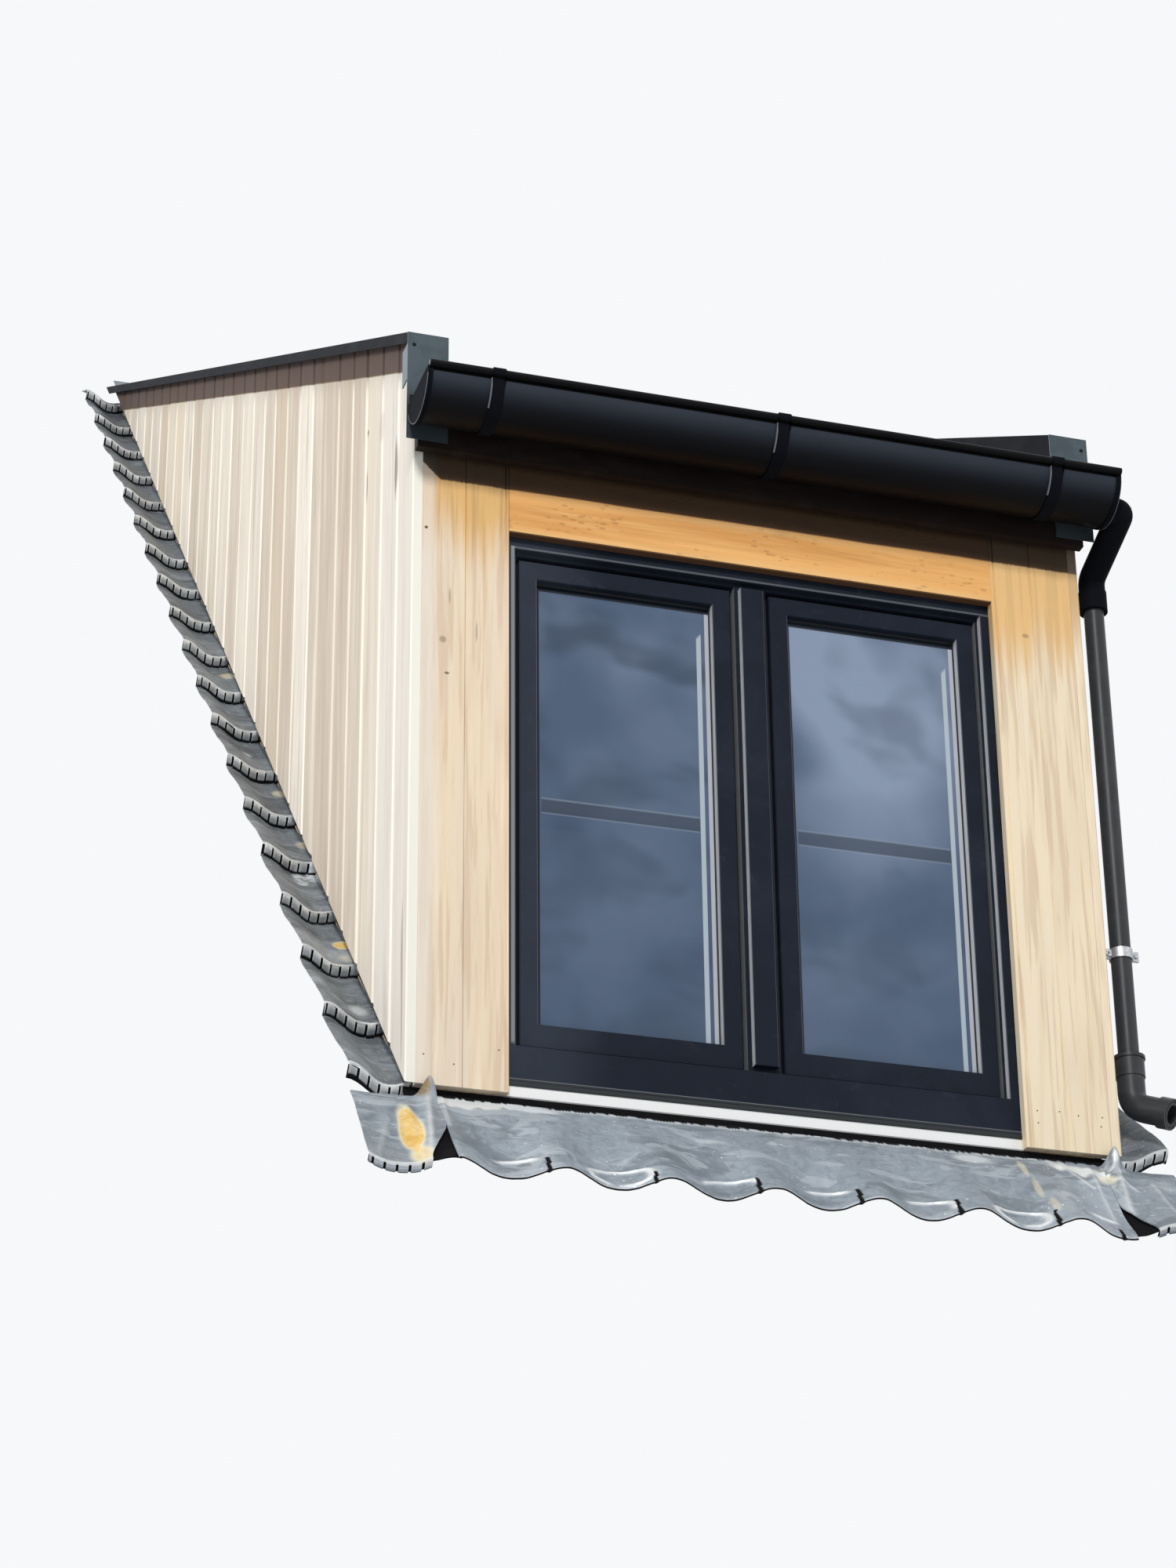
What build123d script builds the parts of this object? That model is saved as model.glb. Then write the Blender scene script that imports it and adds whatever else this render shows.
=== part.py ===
from build123d import *
from math import cos, pi, radians, sin, tan
import os

# Lean-to dormer with a two-light window, standing on the rafters of a tiled main roof.
# Millimetres. X runs along the front, Y into the building, Z up.
# The origin is in the middle of the front sill beam's sloped underside, on the rafters.

# Slopes
main_pitch = 45.0
dormer_pitch = 30.0

# Size over the cladding
front_width = 1500.0
front_height = 1671.0
seat_depth = 120.0

# Wall build-up, from the weather side in
board_thickness = 22.0
batten_thickness = 20.0
sheathing_thickness = 15.0
stud_depth = 95.0
lining_thickness = 12.0
lining_lift = 8.0

# Timber
stud_width = 45.0
stud_spacing = 400.0
post_width = 113.0
sole_height = 45.0
sill_beam_rise = 4.0
batten_width = 45.0
batten_rows = 4
batten_spacing = 400.0
batten_lift = 40.0
batten_foot_gap = 20.0
rafter_width = 45.0
rafter_depth = 120.0
rafter_count = 4
rafter_tail_drop = 226.0
deck_thickness = 18.0
membrane_thickness = 4.0
membrane_drip = 45.0
lay_board_thickness = 25.0
lay_board_width = 220.0
lay_board_head = 25.0
kerb_width = 40.0
kerb_height = 56.0

# Cladding
front_boards_per_side = 2
board_joint = 3.0
board_foot_slack = 10.0
cheek_first_board = 118.0
cheek_board_pitch = 141.0
channel_width = 14.0
channel_depth = 7.0
cheek_top_lap = 12.0

# Window, its levels taken down from the verges' lower edge at the front
lintel_drop = 420.0
frame_head_lap = 14.0
frame_side_lap = 34.0
frame_gap = 5.0
frame_foot = 24.0
frame_depth = 70.0
frame_face = 59.0
frame_sill_face = 92.0
frame_nose = 8.0
mullion_base = 94.0
mullion_face = 47.0
mullion_proud = 10.0
sash_gap = 3.0
sash_setback = 12.0
sash_depth = 68.0
sash_stile = 41.0
sash_bevel = 9.0
glass_thickness = 28.0
glass_setback = 16.0
glass_bite = 12.0
glazing_bar_height = 38.0
glazing_bar_depth = 8.0
glazing_bar_drop = 22.0
seal_gap = 2.0
seal_setback = 30.0
seal_width = 6.0

# Eaves, gutter and verges, their levels taken down from the verges' lower edge at the front
eaves_overhang = 18.0
fascia_thickness = 22.0
fascia_drop = 271.0
gutter_radius = 80.0
gutter_wall = 3.0
gutter_axis_drop = 177.0
gutter_end_reach = 22.0
gutter_back_rise = 24.0
bead_radius = 10.0
bead_lift = 4.0
bracket_width = 27.0
bracket_thickness = 4.0
bracket_spacing = 622.0
stop_end_collar = 16.0
stop_end_wall = 2.5
verge_overhang = 25.0
verge_face_height = 27.0
verge_sheet = 2.5
end_plate_width = 89.0
end_plate_drop = 256.0
end_plate_return = 40.0
end_plate_return_drop = 112.0

# Downpipe
pipe_radius = 22.0
pipe_wall = 2.5
fitting_radius = 29.0
socket_wall = 2.0
socket_height = 45.0
pipe_standoff = 28.0
pipe_setback = 38.0
pipe_top_drop = 341.0
pipe_foot = 190.0
pipe_entry = 15.0
spigot_drop = 44.0
spigot_reach = 38.0
neck_drop = 36.0
elbow_cut = 24.0
shoe_drop = 62.0
shoe_reach = 92.0
shoe_wall = 9.0
mouth_length = 26.0
mouth_lip = 4.0
clamp_level = 455.0
clamp_height = 22.0
clamp_wall = 3.0
clamp_ear_reach = 14.0
clamp_ear_thickness = 6.0
clamp_stem_radius = 5.0
clamp_boss = 14.0
clamp_boss_length = 8.0

# Lead flashings, dressed over single-S pantiles
tile_cover = 209.0
tile_gauge = 305.0
tile_crest_x = -62.0
lead = 4.0
crest_depth = 18.0
pan_depth = 50.0
pan_breadth = 0.12
apron_length = 290.0
apron_end_inset = 60.0
apron_shelf = 24.0
apron_flat = 130.0
apron_lip = 40.0
apron_facets = 8
apron_tuck = 14.0
apron_top_gap = 2.0
slit_offset = 38.0
slit_width = 5.0
slit_length = 34.0
soaker_reach = 108.0
soaker_step = 12.0
soaker_nose = 14.0
soaker_lap = 8.0
soaker_upstand = 50.0
soaker_facets = 5
corner_gap = 45.0
corner_split = 150.0
top_flashing_length = 320.0
top_flashing_drop = 20.0

# Clearance between pieces that meet, and what a cut reaches past them
fit = 0.3
overcut = 1.0
near = 0.01

# Values that follow from the sizes above
main_slope = tan(radians(main_pitch))
dormer_slope = tan(radians(dormer_pitch))
main_lift = 1.0 / cos(radians(main_pitch))
dormer_lift = 1.0 / cos(radians(dormer_pitch))
half_width = front_width / 2
cavity = board_thickness + batten_thickness
deck_half = half_width - board_thickness
frame_line = cavity + sheathing_thickness
front_y = -(stud_depth / 2 + frame_line)
foot_z = front_y * main_slope + seat_depth * main_lift
head_z = foot_z + front_height
stud_face_x = half_width - frame_line
lining_face_x = stud_face_x - stud_depth
half_frame = stud_face_x - post_width - frame_gap
half_opening = half_frame - frame_side_lap
lintel_z0 = head_z - lintel_drop
tail_z = head_z - rafter_tail_drop
fascia_y = front_y - eaves_overhang - fascia_thickness
verge_x = half_width + verge_overhang
deck_top_rise = verge_face_height - (kerb_height + verge_sheet) * dormer_lift
rafter_top_rise = deck_top_rise - deck_thickness * dormer_lift
rafter_foot_rise = rafter_top_rise - rafter_depth * dormer_lift


def main_roof(y, depth):
    """Height of the plane that lies depth above the rafters, square to the main roof."""
    return y * main_slope + depth * main_lift


def dormer_roof(y, rise):
    """Height of the dormer's roof slope at y, rise above the verge trim's lower edge."""
    return head_z + (y - front_y) * dormer_slope + rise


def meet(rise, depth):
    """Y where a plane of the dormer's roof meets a plane of the main roof."""
    constant = head_z - front_y * dormer_slope + rise - depth * main_lift
    return constant / (main_slope - dormer_slope)


def side_prism(points, x0, x1):
    """Solid of a Y-Z outline between two X positions."""
    face = Plane(origin=(x0, 0, 0), x_dir=(0, 1, 0), z_dir=(1, 0, 0)) * Polygon(*points, align=None)
    return extrude(face, amount=x1 - x0, dir=(1, 0, 0))


def block(x0, x1, y0, y1, z0, z1):
    """Rectangular solid between two corners."""
    return Pos((x0 + x1) / 2, (y0 + y1) / 2, (z0 + z1) / 2) * Box(x1 - x0, y1 - y0, z1 - z0)


def save(name, *solids):
    """Write one node of one or more solids."""
    shape = Compound(children=list(solids)) if len(solids) > 1 else solids[0]
    export_step(shape, "parts/" + name + ".step")


def save_pair(name, solid):
    """Write one node that holds a right-hand solid and its mirror image."""
    save(name, solid, mirror(solid, about=Plane.YZ))


def both_sides(name, *solids):
    """Write a right-hand node and its mirror image on the left."""
    save("right_" + name, *solids)
    save("left_" + name, *[mirror(solid, about=Plane.YZ) for solid in solids])


def cheek_outline(y_front, depth, rise):
    """Y-Z triangle of a cheek layer, from the main roof up to the dormer's roof."""
    apex = meet(rise, depth)
    return [
        (y_front, main_roof(y_front, depth)),
        (apex, main_roof(apex, depth)),
        (y_front, dormer_roof(y_front, rise)),
    ]


# Timber frame
post_y0 = -stud_depth / 2
post_y1 = stud_depth / 2
sill_top = foot_z + sill_beam_rise
header_z0 = lintel_z0 + frame_head_lap + frame_gap


def front_sill_beam():
    """Beam under the window, cut underneath to the slope of the rafters."""
    outline = [
        (post_y0, main_roof(post_y0, 0)),
        (post_y1, main_roof(post_y1, 0)),
        (post_y1, sill_top),
        (post_y0, sill_top),
    ]
    return side_prism(outline, -stud_face_x, stud_face_x)


def sole_plate():
    """Sloping plate on the rafters under one cheek, from the sill beam to the apex."""
    top_end = meet(rafter_foot_rise, sole_height)
    outline = [
        (post_y1, main_roof(post_y1, 0)),
        (top_end, main_roof(top_end, 0)),
        (top_end, main_roof(top_end, sole_height)),
        (post_y1, main_roof(post_y1, sole_height)),
    ]
    return side_prism(outline, lining_face_x, stud_face_x)


def front_post():
    """Corner post beside the window, from the sill beam to the header."""
    return block(stud_face_x - post_width, stud_face_x, post_y0, post_y1, sill_top, header_z0)


def header_beam():
    """Beam over the window, its top bevelled to the rafters' underside."""
    outline = [
        (post_y0, header_z0),
        (post_y1, header_z0),
        (post_y1, dormer_roof(post_y1, rafter_foot_rise)),
        (post_y0, dormer_roof(post_y0, rafter_foot_rise)),
    ]
    return side_prism(outline, -stud_face_x, stud_face_x)


def cheek_studs():
    """Studs of one cheek, from the sole plate up to the outer rafter."""
    studs = []
    y = post_y1 + stud_spacing - stud_width
    last = meet(rafter_foot_rise, sole_height) - stud_spacing / 2
    while y < last:
        outline = [
            (y, main_roof(y, sole_height)),
            (y + stud_width, main_roof(y + stud_width, sole_height)),
            (y + stud_width, dormer_roof(y + stud_width, rafter_foot_rise)),
            (y, dormer_roof(y, rafter_foot_rise)),
        ]
        studs.append(side_prism(outline, lining_face_x, stud_face_x))
        y += stud_spacing
    return studs


def roof_rafters():
    """Rafters of the dormer, from the fascia up to the lay board on the main roof."""
    y0 = fascia_y + fascia_thickness
    tail_top = dormer_roof(y0, rafter_top_rise)
    upper = meet(rafter_top_rise, lay_board_thickness)
    lower = meet(rafter_foot_rise, lay_board_thickness)
    outline = [
        (y0, tail_z),
        (y0, tail_top),
        (upper, main_roof(upper, lay_board_thickness)),
        (lower, main_roof(lower, lay_board_thickness)),
        (post_y0, dormer_roof(post_y0, rafter_foot_rise)),
        (post_y0, tail_z),
    ]
    span = 2 * stud_face_x - rafter_width
    rafters = []
    for index in range(rafter_count):
        x = -span / 2 + index * span / (rafter_count - 1)
        rafters.append(side_prism(outline, x - rafter_width / 2, x + rafter_width / 2))
    return rafters


def lay_board():
    """Board on the main roof that the dormer's rafters land on."""
    upper = meet(rafter_top_rise, lay_board_thickness)
    reach = lay_board_width / 2 * cos(radians(main_pitch))
    y0 = upper - 2 * reach
    y1 = upper + lay_board_head
    outline = [
        (y0, main_roof(y0, 0)),
        (y1, main_roof(y1, 0)),
        (y1, main_roof(y1, lay_board_thickness)),
        (y0, main_roof(y0, lay_board_thickness)),
    ]
    return side_prism(outline, -lining_face_x, lining_face_x)


def roof_deck():
    """Boarding on the rafters, out to the back of the cladding on both sides."""
    y0 = fascia_y
    upper = meet(deck_top_rise, lay_board_thickness)
    lower = meet(rafter_top_rise, lay_board_thickness)
    outline = [
        (y0, dormer_roof(y0, rafter_top_rise)),
        (lower, main_roof(lower, lay_board_thickness)),
        (upper, main_roof(upper, lay_board_thickness)),
        (y0, dormer_roof(y0, deck_top_rise)),
    ]
    return side_prism(outline, -deck_half, deck_half)


def roof_membrane():
    """Rubber sheet on the deck between the kerbs, turned down at the eaves."""
    rise = deck_top_rise + membrane_thickness * dormer_lift
    y0 = fascia_y - membrane_thickness
    top = meet(deck_top_rise, seat_depth)
    top_up = meet(rise, seat_depth)
    outline = [
        (y0, dormer_roof(y0, deck_top_rise) - membrane_drip),
        (y0 + membrane_thickness, dormer_roof(y0, deck_top_rise) - membrane_drip),
        (y0 + membrane_thickness, dormer_roof(y0 + membrane_thickness, deck_top_rise)),
        (top, dormer_roof(top, deck_top_rise)),
        (top_up, dormer_roof(top_up, rise)),
        (y0, dormer_roof(y0, rise)),
    ]
    reach = deck_half - kerb_width - verge_sheet - fit
    return side_prism(outline, -reach, reach)


def verge_kerb():
    """Timber upstand along one edge of the roof, under the verge trim."""
    y0 = fascia_y
    rise = deck_top_rise + kerb_height * dormer_lift
    lower = meet(deck_top_rise, seat_depth)
    upper = meet(rise, seat_depth)
    outline = [
        (y0, dormer_roof(y0, deck_top_rise)),
        (lower, dormer_roof(lower, deck_top_rise)),
        (upper, dormer_roof(upper, rise)),
        (y0, dormer_roof(y0, rise)),
    ]
    return side_prism(outline, deck_half - kerb_width, deck_half)


def verge_trim():
    """Folded sheet over one kerb: outer drip face, top and inner return."""
    y0 = fascia_y
    top_rise = deck_top_rise + (kerb_height + verge_sheet) * dormer_lift
    under_rise = deck_top_rise + kerb_height * dormer_lift

    def band(rise0, rise1, x0, x1):
        low = meet(rise0, seat_depth)
        high = meet(rise1, seat_depth)
        outline = [
            (y0, dormer_roof(y0, rise0)),
            (low, dormer_roof(low, rise0)),
            (high, dormer_roof(high, rise1)),
            (y0, dormer_roof(y0, rise1)),
        ]
        return side_prism(outline, x0, x1)

    inner_x = deck_half - kerb_width - verge_sheet
    face = band(0.0, top_rise, verge_x - verge_sheet, verge_x)
    top = band(under_rise, top_rise, inner_x, verge_x)
    inner_foot = deck_top_rise + (membrane_thickness + fit) * dormer_lift
    inner = band(inner_foot, top_rise, inner_x, inner_x + verge_sheet)
    return face + top + inner


def verge_end_plate():
    """Plate that closes one verge at the eaves, with a short return along the side."""
    top = dormer_roof(fascia_y, verge_face_height)
    x0 = verge_x - end_plate_width
    y1 = fascia_y
    y0 = y1 - verge_sheet
    face = block(x0, verge_x, y0, y1, head_z - end_plate_drop, top)
    side_foot = head_z - end_plate_return_drop
    side_top = dormer_roof(fascia_y, 0.0) - fit
    side = block(verge_x - verge_sheet, verge_x, y0, y1 + end_plate_return, side_foot, side_top)
    return face + side


# Cladding
clad_foot = seat_depth
clad_rise = cheek_top_lap


def cheek_sheathing():
    """Sheathing of one cheek, on the studs and down over the sole plate."""
    outline = cheek_outline(post_y0 - sheathing_thickness, sill_beam_rise, rafter_top_rise)
    return side_prism(outline, stud_face_x, stud_face_x + sheathing_thickness)


def cheek_lining():
    """Inner board of one cheek."""
    outline = cheek_outline(post_y1, lining_lift, rafter_foot_rise)
    return side_prism(outline, lining_face_x - lining_thickness, lining_face_x)


def cheek_battens():
    """Battens between sheathing and boards, parallel to the dormer's roof."""
    x0 = stud_face_x + sheathing_thickness
    battens = []
    for index in range(batten_rows):
        rise = rafter_top_rise - index * batten_spacing
        y0 = front_y + cavity
        low = meet(rise - batten_width, clad_foot + batten_lift)
        high = meet(rise, clad_foot + batten_lift)
        outline = [
            (y0, dormer_roof(y0, rise - batten_width)),
            (low, dormer_roof(low, rise - batten_width)),
            (high, dormer_roof(high, rise)),
            (y0, dormer_roof(y0, rise)),
        ]
        battens.append(side_prism(outline, x0, x0 + batten_thickness))
    return battens


def cheek_cladding():
    """Upright channel boards of one cheek as one panel, cut to the roof below and above."""
    outline = cheek_outline(front_y, clad_foot, clad_rise)
    panel = side_prism(outline, half_width - board_thickness, half_width)
    apex = meet(clad_rise, clad_foot)
    x0 = half_width - channel_depth
    x1 = half_width + overcut
    channels = []
    y = front_y + cheek_first_board
    while y < apex - cheek_board_pitch / 2:
        z0 = main_roof(y, clad_foot) - overcut
        z1 = dormer_roof(y + channel_width, clad_rise) + overcut
        channels.append(block(x0, x1, y, y + channel_width, z0, z1))
        y += cheek_board_pitch
    return panel - channels


def front_boards():
    """Two upright boards beside the window."""
    boards = []
    x1 = half_width - board_thickness - fit
    joints = board_joint * (front_boards_per_side - 1)
    width = (x1 - half_opening - joints) / front_boards_per_side
    for index in range(front_boards_per_side):
        x0 = half_opening + index * (width + board_joint)
        boards.append(block(x0, x0 + width, front_y, front_y + board_thickness, foot_z, tail_z - fit))
    return boards


def front_battens():
    """Upright battens behind the boards beside the window."""
    y0 = front_y + board_thickness
    x0 = half_frame + frame_gap
    x1 = half_width - board_thickness - fit
    return block(x0, x1, y0, y0 + batten_thickness, foot_z + batten_foot_gap, tail_z - fit)


def lintel_board():
    """Level board over the window."""
    reach = half_opening - fit
    return block(-reach, reach, front_y, front_y + board_thickness, lintel_z0, tail_z - fit)


def front_sheathing():
    """Sheathing of the front, cut out for the window."""
    y0 = front_y + cavity
    y1 = y0 + sheathing_thickness
    top = tail_z - fit
    inner = half_frame + frame_gap
    side = block(inner, stud_face_x, y0, y1, foot_z - board_foot_slack, top)
    head = block(-inner + fit, inner - fit, y0, y1, header_z0, top)
    return [side, mirror(side, about=Plane.YZ), head]


# Window
frame_y = front_y + board_thickness + seal_gap
frame_z0 = foot_z + frame_foot
frame_z1 = lintel_z0 + frame_head_lap
light_z0 = frame_z0 + frame_sill_face
light_z1 = frame_z1 - frame_face
half_light = half_frame - frame_face
sash_y = frame_y + sash_setback
seal_y0 = sash_y + seal_setback
seal_y1 = seal_y0 + seal_width


def ring(x0, x1, z0, z1, width, y0, y1):
    """Rectangular ring of one width."""
    outer = block(x0, x1, y0, y1, z0, z1)
    inner = block(x0 + width, x1 - width, y0 - overcut, y1 + overcut, z0 + width, z1 - width)
    return outer - inner


def window_frame():
    """Outer frame: a stepped ring with a deeper sill member and a nose under it."""
    body = block(-half_frame, half_frame, frame_y, frame_y + frame_depth, frame_z0, frame_z1)
    y0 = frame_y - overcut
    y1 = frame_y + frame_depth + overcut
    light = block(-half_light, half_light, y0, y1, light_z0, light_z1)
    frame = body - light
    frame = chamfer(frame.edges().filter_by(GeomType.LINE).filter_by(
        lambda e: abs(e.center().Y - frame_y) < near
        and abs(e.center().X) < half_light + near
        and light_z0 - near < e.center().Z < light_z1 + near
    ), frame_nose)
    seal = block(-half_light, half_light, seal_y0, seal_y1, light_z0, light_z1)
    reach = half_light - sash_gap + fit
    inner = sash_gap - fit
    y0 = seal_y0 - overcut
    y1 = seal_y1 + overcut
    seal = seal - block(-reach, reach, y0, y1, light_z0 + inner, light_z1 - inner)
    half_base = mullion_base / 2
    seal = seal - block(-half_base, half_base, y0, y1, light_z0 - overcut, light_z1 + overcut)
    return frame + seal


def mullion():
    """Middle post: a broad base behind the sashes' faces and a raised face in front."""
    y0 = frame_y + mullion_proud
    base = block(-mullion_base / 2, mullion_base / 2, y0, frame_y + frame_depth, light_z0, light_z1)
    face = block(-mullion_face / 2, mullion_face / 2, frame_y, y0, light_z0, light_z1)
    reach = mullion_base / 2 + sash_gap - fit
    seal = block(-reach, reach, seal_y0, seal_y1, light_z0 + sash_gap, light_z1 - sash_gap)
    return base + face + seal


def sash(x0, x1):
    """One sash: a ring bevelled in towards the glass, with the glass rebate behind."""
    z0 = light_z0 + sash_gap
    z1 = light_z1 - sash_gap
    body = ring(x0, x1, z0, z1, sash_stile, sash_y, sash_y + sash_depth)
    glass_y = sash_y + glass_setback
    cut = block(
        x0 + sash_stile - glass_bite - fit, x1 - sash_stile + glass_bite + fit,
        glass_y - fit, glass_y + glass_thickness + fit,
        z0 + sash_stile - glass_bite - fit, z1 - sash_stile + glass_bite + fit,
    )
    body = body - cut
    inner_edges = body.edges().filter_by(GeomType.LINE).filter_by(
        lambda e: abs(e.center().Y - sash_y) < near
        and x0 + sash_stile - near < e.center().X < x1 - sash_stile + near
        and z0 + sash_stile - near < e.center().Z < z1 - sash_stile + near
    )
    return chamfer(inner_edges, sash_bevel)


def glass(x0, x1):
    """Double glazing of one sash."""
    z0 = light_z0 + sash_gap + sash_stile - glass_bite
    z1 = light_z1 - sash_gap - sash_stile + glass_bite
    y0 = sash_y + glass_setback
    inset = sash_stile - glass_bite
    return block(x0 + inset, x1 - inset, y0, y0 + glass_thickness, z0, z1)


def glazing_bar(x0, x1):
    """Level bar on the room side of one pane."""
    y0 = sash_y + glass_setback + glass_thickness
    z0 = (light_z0 + light_z1 - glazing_bar_height) / 2 - glazing_bar_drop
    return block(x0 + sash_stile, x1 - sash_stile, y0, y0 + glazing_bar_depth, z0, z0 + glazing_bar_height)


def sub_sill():
    """White strip that packs the window up off the sill beam."""
    return block(-half_frame, half_frame, frame_y, frame_y + frame_depth, sill_top, frame_z0)


# Eaves
def fascia_board():
    """Board on the rafter ends behind the gutter."""
    y0 = fascia_y
    top = dormer_roof(fascia_y + fascia_thickness, rafter_top_rise) - fit
    z1 = dormer_roof(fascia_y, rafter_top_rise)
    outline = [
        (y0, head_z - fascia_drop),
        (y0 + fascia_thickness, head_z - fascia_drop),
        (y0 + fascia_thickness, top),
        (y0, z1 - fit),
    ]
    return side_prism(outline, -half_width, half_width)


gutter_y = fascia_y - verge_sheet - fit - gutter_radius
gutter_z = head_z - gutter_axis_drop
gutter_half_length = half_width + gutter_end_reach


def half_round(radius, x0, x1, wall):
    """Open half-round trough along X."""
    plane = Plane(origin=(x0, gutter_y, gutter_z), x_dir=(0, 1, 0), z_dir=(1, 0, 0))
    outer = Circle(radius)
    inner = Circle(radius - wall)
    lower = Pos(0, -radius) * Rectangle(4 * radius, 2 * radius)
    trough = (outer - inner) & lower
    return extrude(plane * trough, amount=x1 - x0, dir=(1, 0, 0))


def gutter():
    """Half-round gutter with a rolled bead on the front and a raised back."""
    reach = gutter_half_length - stop_end_wall
    trough = half_round(gutter_radius, -reach, reach, gutter_wall)
    bead_y = gutter_y - gutter_radius - bead_radius + gutter_wall
    bead = Pos(0, bead_y, gutter_z + bead_lift) * Rot(0, 90, 0) * Cylinder(bead_radius, 2 * reach)
    back_y = gutter_y + gutter_radius
    back = block(-reach, reach, back_y - gutter_wall, back_y, gutter_z - fit, gutter_z + gutter_back_rise)
    return trough + bead + back


def stop_end():
    """Half-round end of the gutter, with a collar inside the trough."""
    x_disc = gutter_half_length - stop_end_wall
    x_collar = gutter_half_length - stop_end_collar
    lower = Pos(0, -gutter_radius) * Rectangle(4 * gutter_radius, 2 * gutter_radius)
    radius = gutter_radius - gutter_wall - fit
    disc_plane = Plane(origin=(x_disc, gutter_y, gutter_z), x_dir=(0, 1, 0), z_dir=(1, 0, 0))
    disc = extrude(disc_plane * (Circle(gutter_radius) & lower), amount=stop_end_wall, dir=(1, 0, 0))
    collar_plane = Plane(origin=(x_collar, gutter_y, gutter_z), x_dir=(0, 1, 0), z_dir=(1, 0, 0))
    collar = (Circle(radius) - Circle(radius - gutter_wall)) & lower
    return disc + extrude(collar_plane * collar, amount=x_disc - x_collar, dir=(1, 0, 0))


def gutter_brackets():
    """Strap brackets under the gutter, from the fascia round to the bead."""
    straps = []
    for index in (-1, 0, 1):
        x = index * bracket_spacing
        plane = Plane(origin=(x - bracket_width / 2, gutter_y, gutter_z), x_dir=(0, 1, 0), z_dir=(1, 0, 0))
        inner = gutter_radius + fit
        lower = Pos(0, -gutter_radius - bead_radius) * Rectangle(4 * gutter_radius, 2 * gutter_radius)
        keep = Pos(-gutter_radius - fit, 0) * Rectangle(4 * gutter_radius, 4 * gutter_radius)
        band = ((Circle(inner + bracket_thickness) - Circle(inner)) & lower) & keep
        straps.append(extrude(plane * band, amount=bracket_width, dir=(1, 0, 0)))
    return straps


# Downpipe
pipe_x = half_width + pipe_standoff + pipe_radius
pipe_y = front_y + pipe_setback
neck_foot_z = head_z - pipe_top_drop
shoe_z = foot_z + pipe_foot
shoe_out = Vector(0.60, -0.70, -0.39).normalized()


def cut_corners(points):
    """Points of a run of pipe, each corner cut off so that it turns in two even mitres."""
    path = [points[0]]
    for before, corner, after in zip(points, points[1:], points[2:]):
        path.append(corner + (before - corner).normalized() * elbow_cut)
        path.append(corner + (after - corner).normalized() * elbow_cut)
    return path + [points[-1]]


def rod(points, radius):
    """Round bar through points, mitred at each."""
    start = Plane(origin=points[0], z_dir=points[1] - points[0])
    return sweep(start * Circle(radius), path=Polyline(*points), transition=Transition.RIGHT)


def tube(points, radius, wall):
    """Hollow round tube through points, open at both ends, its corners in two mitres."""
    path = cut_corners(points)
    return rod(path, radius) - rod(path, radius - wall)


def socket(z0):
    """Sleeve round the straight pipe, open at both ends, from z0 up."""
    sleeve = Circle(fitting_radius + socket_wall) - Circle(pipe_radius + fit)
    return extrude(Plane(origin=(pipe_x, pipe_y, z0)) * sleeve, amount=socket_height)


def downpipe_neck():
    """Swan neck from the spigot on the gutter's end, back and down to a socket on the pipe."""
    level = gutter_z - spigot_drop
    points = [
        Vector(gutter_half_length + fit, gutter_y, level),
        Vector(gutter_half_length + spigot_reach, gutter_y, level),
        Vector(pipe_x, pipe_y, neck_foot_z + neck_drop),
        Vector(pipe_x, pipe_y, neck_foot_z),
    ]
    return tube(points, fitting_radius, pipe_wall) + socket(neck_foot_z - socket_height)


def downpipe():
    """Straight pipe down the right-hand cheek."""
    length = neck_foot_z + pipe_entry - shoe_z
    section = Circle(pipe_radius) - Circle(pipe_radius - pipe_wall)
    return extrude(Plane(origin=(pipe_x, pipe_y, shoe_z)) * section, amount=length)


def downpipe_shoe():
    """Socketed elbow at the pipe's foot, turned out over the tiles."""
    knee = Vector(pipe_x, pipe_y, shoe_z - shoe_drop)
    end = knee + shoe_out * shoe_reach
    elbow = tube([Vector(pipe_x, pipe_y, shoe_z), knee, end], fitting_radius, shoe_wall)
    mouth = Plane(origin=end - shoe_out * mouth_length, z_dir=shoe_out)
    lip = extrude(mouth * Circle(fitting_radius + mouth_lip), amount=mouth_length)
    bore = extrude(mouth * Circle(fitting_radius - shoe_wall / 2), amount=mouth_length + overcut)
    return elbow + lip - bore + socket(shoe_z)


def downpipe_clamp():
    """Two-part clamp round the pipe, with a boss and a stem into the cheek."""
    z0 = foot_z + clamp_level
    middle = z0 + clamp_height / 2
    inner = pipe_radius + fit
    reach = inner + clamp_wall + clamp_ear_reach
    half_ear = clamp_ear_thickness / 2
    band = Circle(inner + clamp_wall) + Rectangle(2 * reach, 2 * half_ear) - Circle(inner)
    body = extrude(Plane(origin=(pipe_x, pipe_y, z0)) * band, amount=clamp_height)
    x0 = half_width + fit
    x2 = pipe_x - inner - clamp_wall / 2
    x1 = x2 - clamp_boss_length
    boss = Pos((x1 + x2) / 2, pipe_y, middle) * Box(x2 - x1, clamp_boss, clamp_boss)
    stem = Pos((x0 + x1) / 2, pipe_y, middle) * Rot(0, 90, 0) * Cylinder(clamp_stem_radius, x1 - x0)
    return body + boss + stem


# Lead flashings
apron_half = half_width - apron_end_inset
soaker_x0 = half_width - board_thickness + fit
soaker_x1 = half_width + soaker_reach


def wave(x):
    """Depth of the tiles' surface below the cladding's foot, from a crest to a broader pan."""
    turn = 2 * pi * (x - tile_crest_x) / tile_cover
    share = (1 - cos(turn)) / 2 + pan_breadth * (1 - cos(2 * turn)) / 2
    return crest_depth + (pan_depth - crest_depth) * share


def slope_point(x, run, depth):
    """Point on the tiles: run down the slope from the front face, depth below the foot."""
    s = sin(radians(main_pitch))
    c = cos(radians(main_pitch))
    y = front_y - run * c + depth * s
    z = foot_z - run * s - depth * c
    return Vector(x, y, z)


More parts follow.
